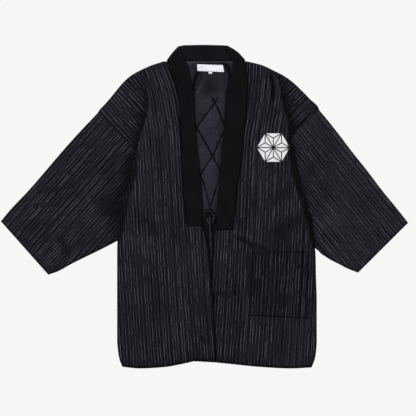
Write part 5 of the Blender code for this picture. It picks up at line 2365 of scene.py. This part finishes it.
@dataclass
class Studio:
    """A pale floor, soft daylight and a camera straight above."""

    centre: tuple[float, float] = (0.00945, -0.00335)  # The point that the camera is above.
    height: float = 6.224
    lens: float = 200.0
    sky: float = 0.42  # The even light's strength.
    sun: float = 2.60  # The soft key light's strength.
    floor: Colour = (0.921, 0.921, 0.921)  # The floor's colour.

    def build(self) -> None:
        """Sets the studio up and makes its camera the scene's own."""
        scene = bpy.context.scene
        scene.view_settings.view_transform = "Standard"
        bench = Bench("studio_floor")
        bench.dress(Base_Color=(0.0, 0.0, 0.0), Roughness=1.0, Specular_IOR_Level=0.0)
        bench.dress(Emission_Color=self.floor, Emission_Strength=1.0)
        mesh = bpy.data.meshes.new("studio_floor")
        reach, low = 4.0, -0.0005
        signs = ((-1, -1), (1, -1), (1, 1), (-1, 1))
        corners = [(east * reach, north * reach, low) for east, north in signs]
        mesh.from_pydata(corners, [], [(0, 1, 2, 3)])
        mesh.materials.append(bench.material)
        floor = bpy.data.objects.new("studio_floor", mesh)
        shadow = self.shadow()
        world = bpy.data.worlds.new("studio_sky")
        world.use_nodes = True
        backdrop = world.node_tree.nodes["Background"]
        backdrop.inputs["Color"].default_value = (1.0, 1.0, 1.0, 1.0)
        backdrop.inputs["Strength"].default_value = self.sky
        scene.world = world
        light = bpy.data.lights.new("key", "SUN")
        light.energy = self.sun
        light.angle = math.radians(25)
        key = bpy.data.objects.new("key", light)
        key.rotation_euler = Vector((-0.50, 1.05, 0.95)).to_track_quat("Z", "Y").to_euler()
        lens = bpy.data.cameras.new("overhead")
        lens.lens = self.lens
        camera = bpy.data.objects.new("overhead", lens)
        camera.location = (*self.centre, self.height)
        lens.clip_end = 50.0
        for thing in (floor, shadow, key, camera):
            scene.collection.objects.link(thing)
        scene.camera = camera

    def shadow(self) -> Thing:
        """The dark floor right under the coat, which a glowing floor doesn't have by itself.

        Returns:
            The sheet.
        """
        bench = Bench("studio_shadow")
        bench.dress(Base_Color=(0.0, 0.0, 0.0), Roughness=1.0, Specular_IOR_Level=0.0)
        inset, level = 0.008, -0.0003
        places = np.linspace(HEM_Y + 0.036, NECK_Y, 60)
        rims = []
        for side in Side:
            high, low = ARMHOLE[side]
            beside = np.minimum(np.minimum(high - places, places - low) * 0.6, 0.020 + inset)
            out = np.maximum(beside, 0.0) - inset
            rim = SIDES[side].read("rim", places) + side.value * out
            rims.append(np.column_stack((rim, places)))
        neck = np.array((
            ((-0.1035, 0.386), (-0.0985, 0.3915), (-0.0955, 0.3965), (-0.064, 0.426)),
            ((0.1105, 0.386), (0.1060, 0.3915), (0.1030, 0.3960), (0.058, 0.428)),
        ))
        strips = [rims, neck]
        for side in Side:
            top, under = sleeve_edges(side)
            high, low = ARMHOLE[side]
            ends = SIDES[side].read("rim", np.array((high, low)))
            top = np.concatenate((top, [(ends[0], high)]))
            under = np.concatenate((under, [(ends[1], low)]))
            across = (under - top) / np.linalg.norm(under - top, axis=1)[:, None]
            top, under = top + across * inset, under - across * inset
            top[0], under[0] = between(top[0], top[1], 0.3), between(under[0], under[1], 0.3)
            strips.append([top, under])
        points, faces = [], []
        for first, second in strips:
            start, count = len(points), len(first)
            points += [(x, y, level) for x, y in np.concatenate((first, second)).tolist()]
            faces += [
                (start + i, start + i + 1, start + count + i + 1, start + count + i)
                for i in range(count - 1)
            ]
        mesh = bpy.data.meshes.new("studio_shadow")
        mesh.from_pydata(points, [], faces)
        mesh.materials.append(bench.material)
        return bpy.data.objects.new("studio_shadow", mesh)


# The whole coat.


class Finishes(NamedTuple):
    """The coat's materials."""

    shell: Material
    crested: Material
    pocket: Material
    tie: Material
    band: Material
    satin: Material
    label: Material
    black_thread: Material
    white_thread: Material


def make_finishes() -> Finishes:
    """Makes all the materials.

    Returns:
        The materials by name.
    """
    pocket = KasuriCloth(
        "kasuri_cotton_pocket", ground=(0.0048, 0.0043, 0.0072), dash=(0.064, 0.062, 0.080)
    )
    tie = KasuriCloth("kasuri_cotton_tie", ground=(0.0040, 0.0036, 0.0058), spacing=0.0140)
    return Finishes(
        shell=KasuriCloth("kasuri_cotton").build(),
        crested=KasuriCloth("kasuri_cotton_printed", crest=Crest()).build(),
        pocket=pocket.build(),
        tie=tie.build(),
        band=BandCloth().build(),
        satin=QuiltedSatin().build(),
        label=LabelWeave().build(),
        black_thread=Thread("black_thread", (0.004, 0.004, 0.005)).build(),
        white_thread=Thread("white_thread", (0.70, 0.70, 0.74)).build(),
    )


class Coat:
    """The coat's pieces."""

    def __init__(self, finishes: Finishes) -> None:
        """Keeps the materials.

        Args:
            finishes: The coat's materials.
        """
        self.finishes = finishes
        self.fronts = {
            Side.LEFT: Front(Side.LEFT, finishes.shell),
            Side.RIGHT: Front(Side.RIGHT, finishes.crested),
        }
        self.inner = Lining(finishes.satin)

    def lay_body(self) -> None:
        """Makes the back, the fronts and their strips."""
        places = np.linspace(HEM_Y, NECK_Y, 120)
        rims = {side: SIDES[side].read("rim", places) for side in Side}
        under = Back(self.finishes.shell).build()
        for side, front in self.fronts.items():
            panel = front.build()
            seam_line(side, places)
            low = places[places < EDGES[side].places[-1]]
            strip = FrontEdge(side, self.finishes.shell).build()
            seam_line(side, low)
            EDGES[side].read("x", low)

    def lay_sleeves(self) -> None:
        """Makes the two sleeves."""
        for side in Side:
            made = Sleeve(side, self.finishes.shell, self.finishes.satin).build()
            top, end = ARMHOLE[side]
            heights = np.array((top, 0.16, end))
            rim = SIDES[side].read("rim", heights)

    def lay_band(self) -> None:
        """Makes the collar band."""
        made = CollarBand(self.finishes.band).build()
        around = len(CollarBand(self.finishes.band).across)

    def lay_lining(self) -> None:
        """Makes the lining, the blank label and its tab."""
        made = self.inner.build()
        places = np.linspace(LINING_FOOT, NECK_Y, 60)
        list(self.inner.edges(places))
        label = self.sewn_patch(
            "blank_label",
            "label",
            ((-0.0189, 0.3651), (0.0530, 0.3620), (0.0496, 0.3808), (-0.0197, 0.3830)),
            (36, 12),
        )
        tab = self.sewn_patch(
            "blank_label_tab",
            "label_tab",
            ((0.0112, 0.3578), (0.0205, 0.3576), (0.0206, 0.3627), (0.0113, 0.3628)),
            (8, 5),
        )
        ends = [[(-0.0172, 0.3658), (-0.0179, 0.3818)], [(0.0512, 0.3632), (0.0482, 0.3796)]]
        stitches = Stitching(
            "label_stitches", "label_white", self.finishes.white_thread, 0.0018, 0.0009, 0.0004
        ).build(ends, label.surface)
        on_it = [stitches, tab.build()]
        label.build()

    def sewn_patch(
        self, name: str, node: str, corners: tuple[tuple[float, float], ...], steps: tuple[int, int]
    ) -> Patch:
        """A white patch that lies on the lining."""
        return Patch(
            name=name, node=node, slot="label_white", finish=self.finishes.label, corners=corners,
            wall=LABEL_WALL, under=self.inner.surface,
            lift=lambda across, up: 0.0004 * np.sin(math.pi * across) ** 2 * (1 - up), steps=steps,
            edge=0.0003,
        )

    def lay_pocket(self) -> None:
        """Makes the patch pocket and its stitches."""
        right = self.fronts[Side.RIGHT]

        def bulge(across: Array, up: Array) -> Array:
            """How far the pocket stands off the front: most at its loose mouth.

            Args:
                across: Shares of the pocket's width.
                up: Shares of its height.

            Returns:
                The height in metres.
            """
            mouth = 0.0024 * np.sin(math.pi * across) ** 0.7 * smooth(0.70, 1.0, up)
            belly = 0.0009 * np.sin(math.pi * across) * np.sin(math.pi * up)
            hem_line = -0.0005 * bell((up - 0.915) * 0.176, 0.0016)
            return mouth + belly + hem_line

        pocket = Patch(
            name="kasuri_pocket", node="pocket", slot="shell_cloth", finish=self.finishes.pocket,
            corners=POCKET_CORNERS, wall=POCKET_WALL, under=right.surface, lift=bulge,
            steps=(60, 60), edge=0.0022, seed=4.0,
        )
        inset, top, hem = 0.0038, -0.1215, -0.1340
        (x0, y0), (x1, y1), (x2, _), (x3, _) = POCKET_CORNERS
        bottom = [(x0 + inset, y0 + inset), (x1 - inset, y1 + inset)]
        around = [(x3 + inset, top), *bottom, (x2 - inset, top)]
        mouth = [(x3 + inset, hem), (x2 - inset, hem)]
        stitches = Stitching("pocket_stitches", "shell_cloth", self.finishes.black_thread)
        sewn = stitches.build([around, mouth], pocket.surface)
        made, on = pocket.build(), ["kasuri_front_right"]

    def lay_ties(self) -> None:
        """Makes the two ties."""
        for side in Side:
            made = Tie(side, self.finishes.tie).build()


def main() -> None:
    """Builds the coat's looks on its solids."""
    logging.basicConfig(level=logging.INFO, format="%(name)s: %(message)s")
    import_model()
    coat = Coat(make_finishes())
    coat.lay_body()
    coat.lay_sleeves()
    coat.lay_lining()
    coat.lay_band()
    coat.lay_pocket()
    coat.lay_ties()
    Studio().build()


if __name__ == "__main__":
    main()
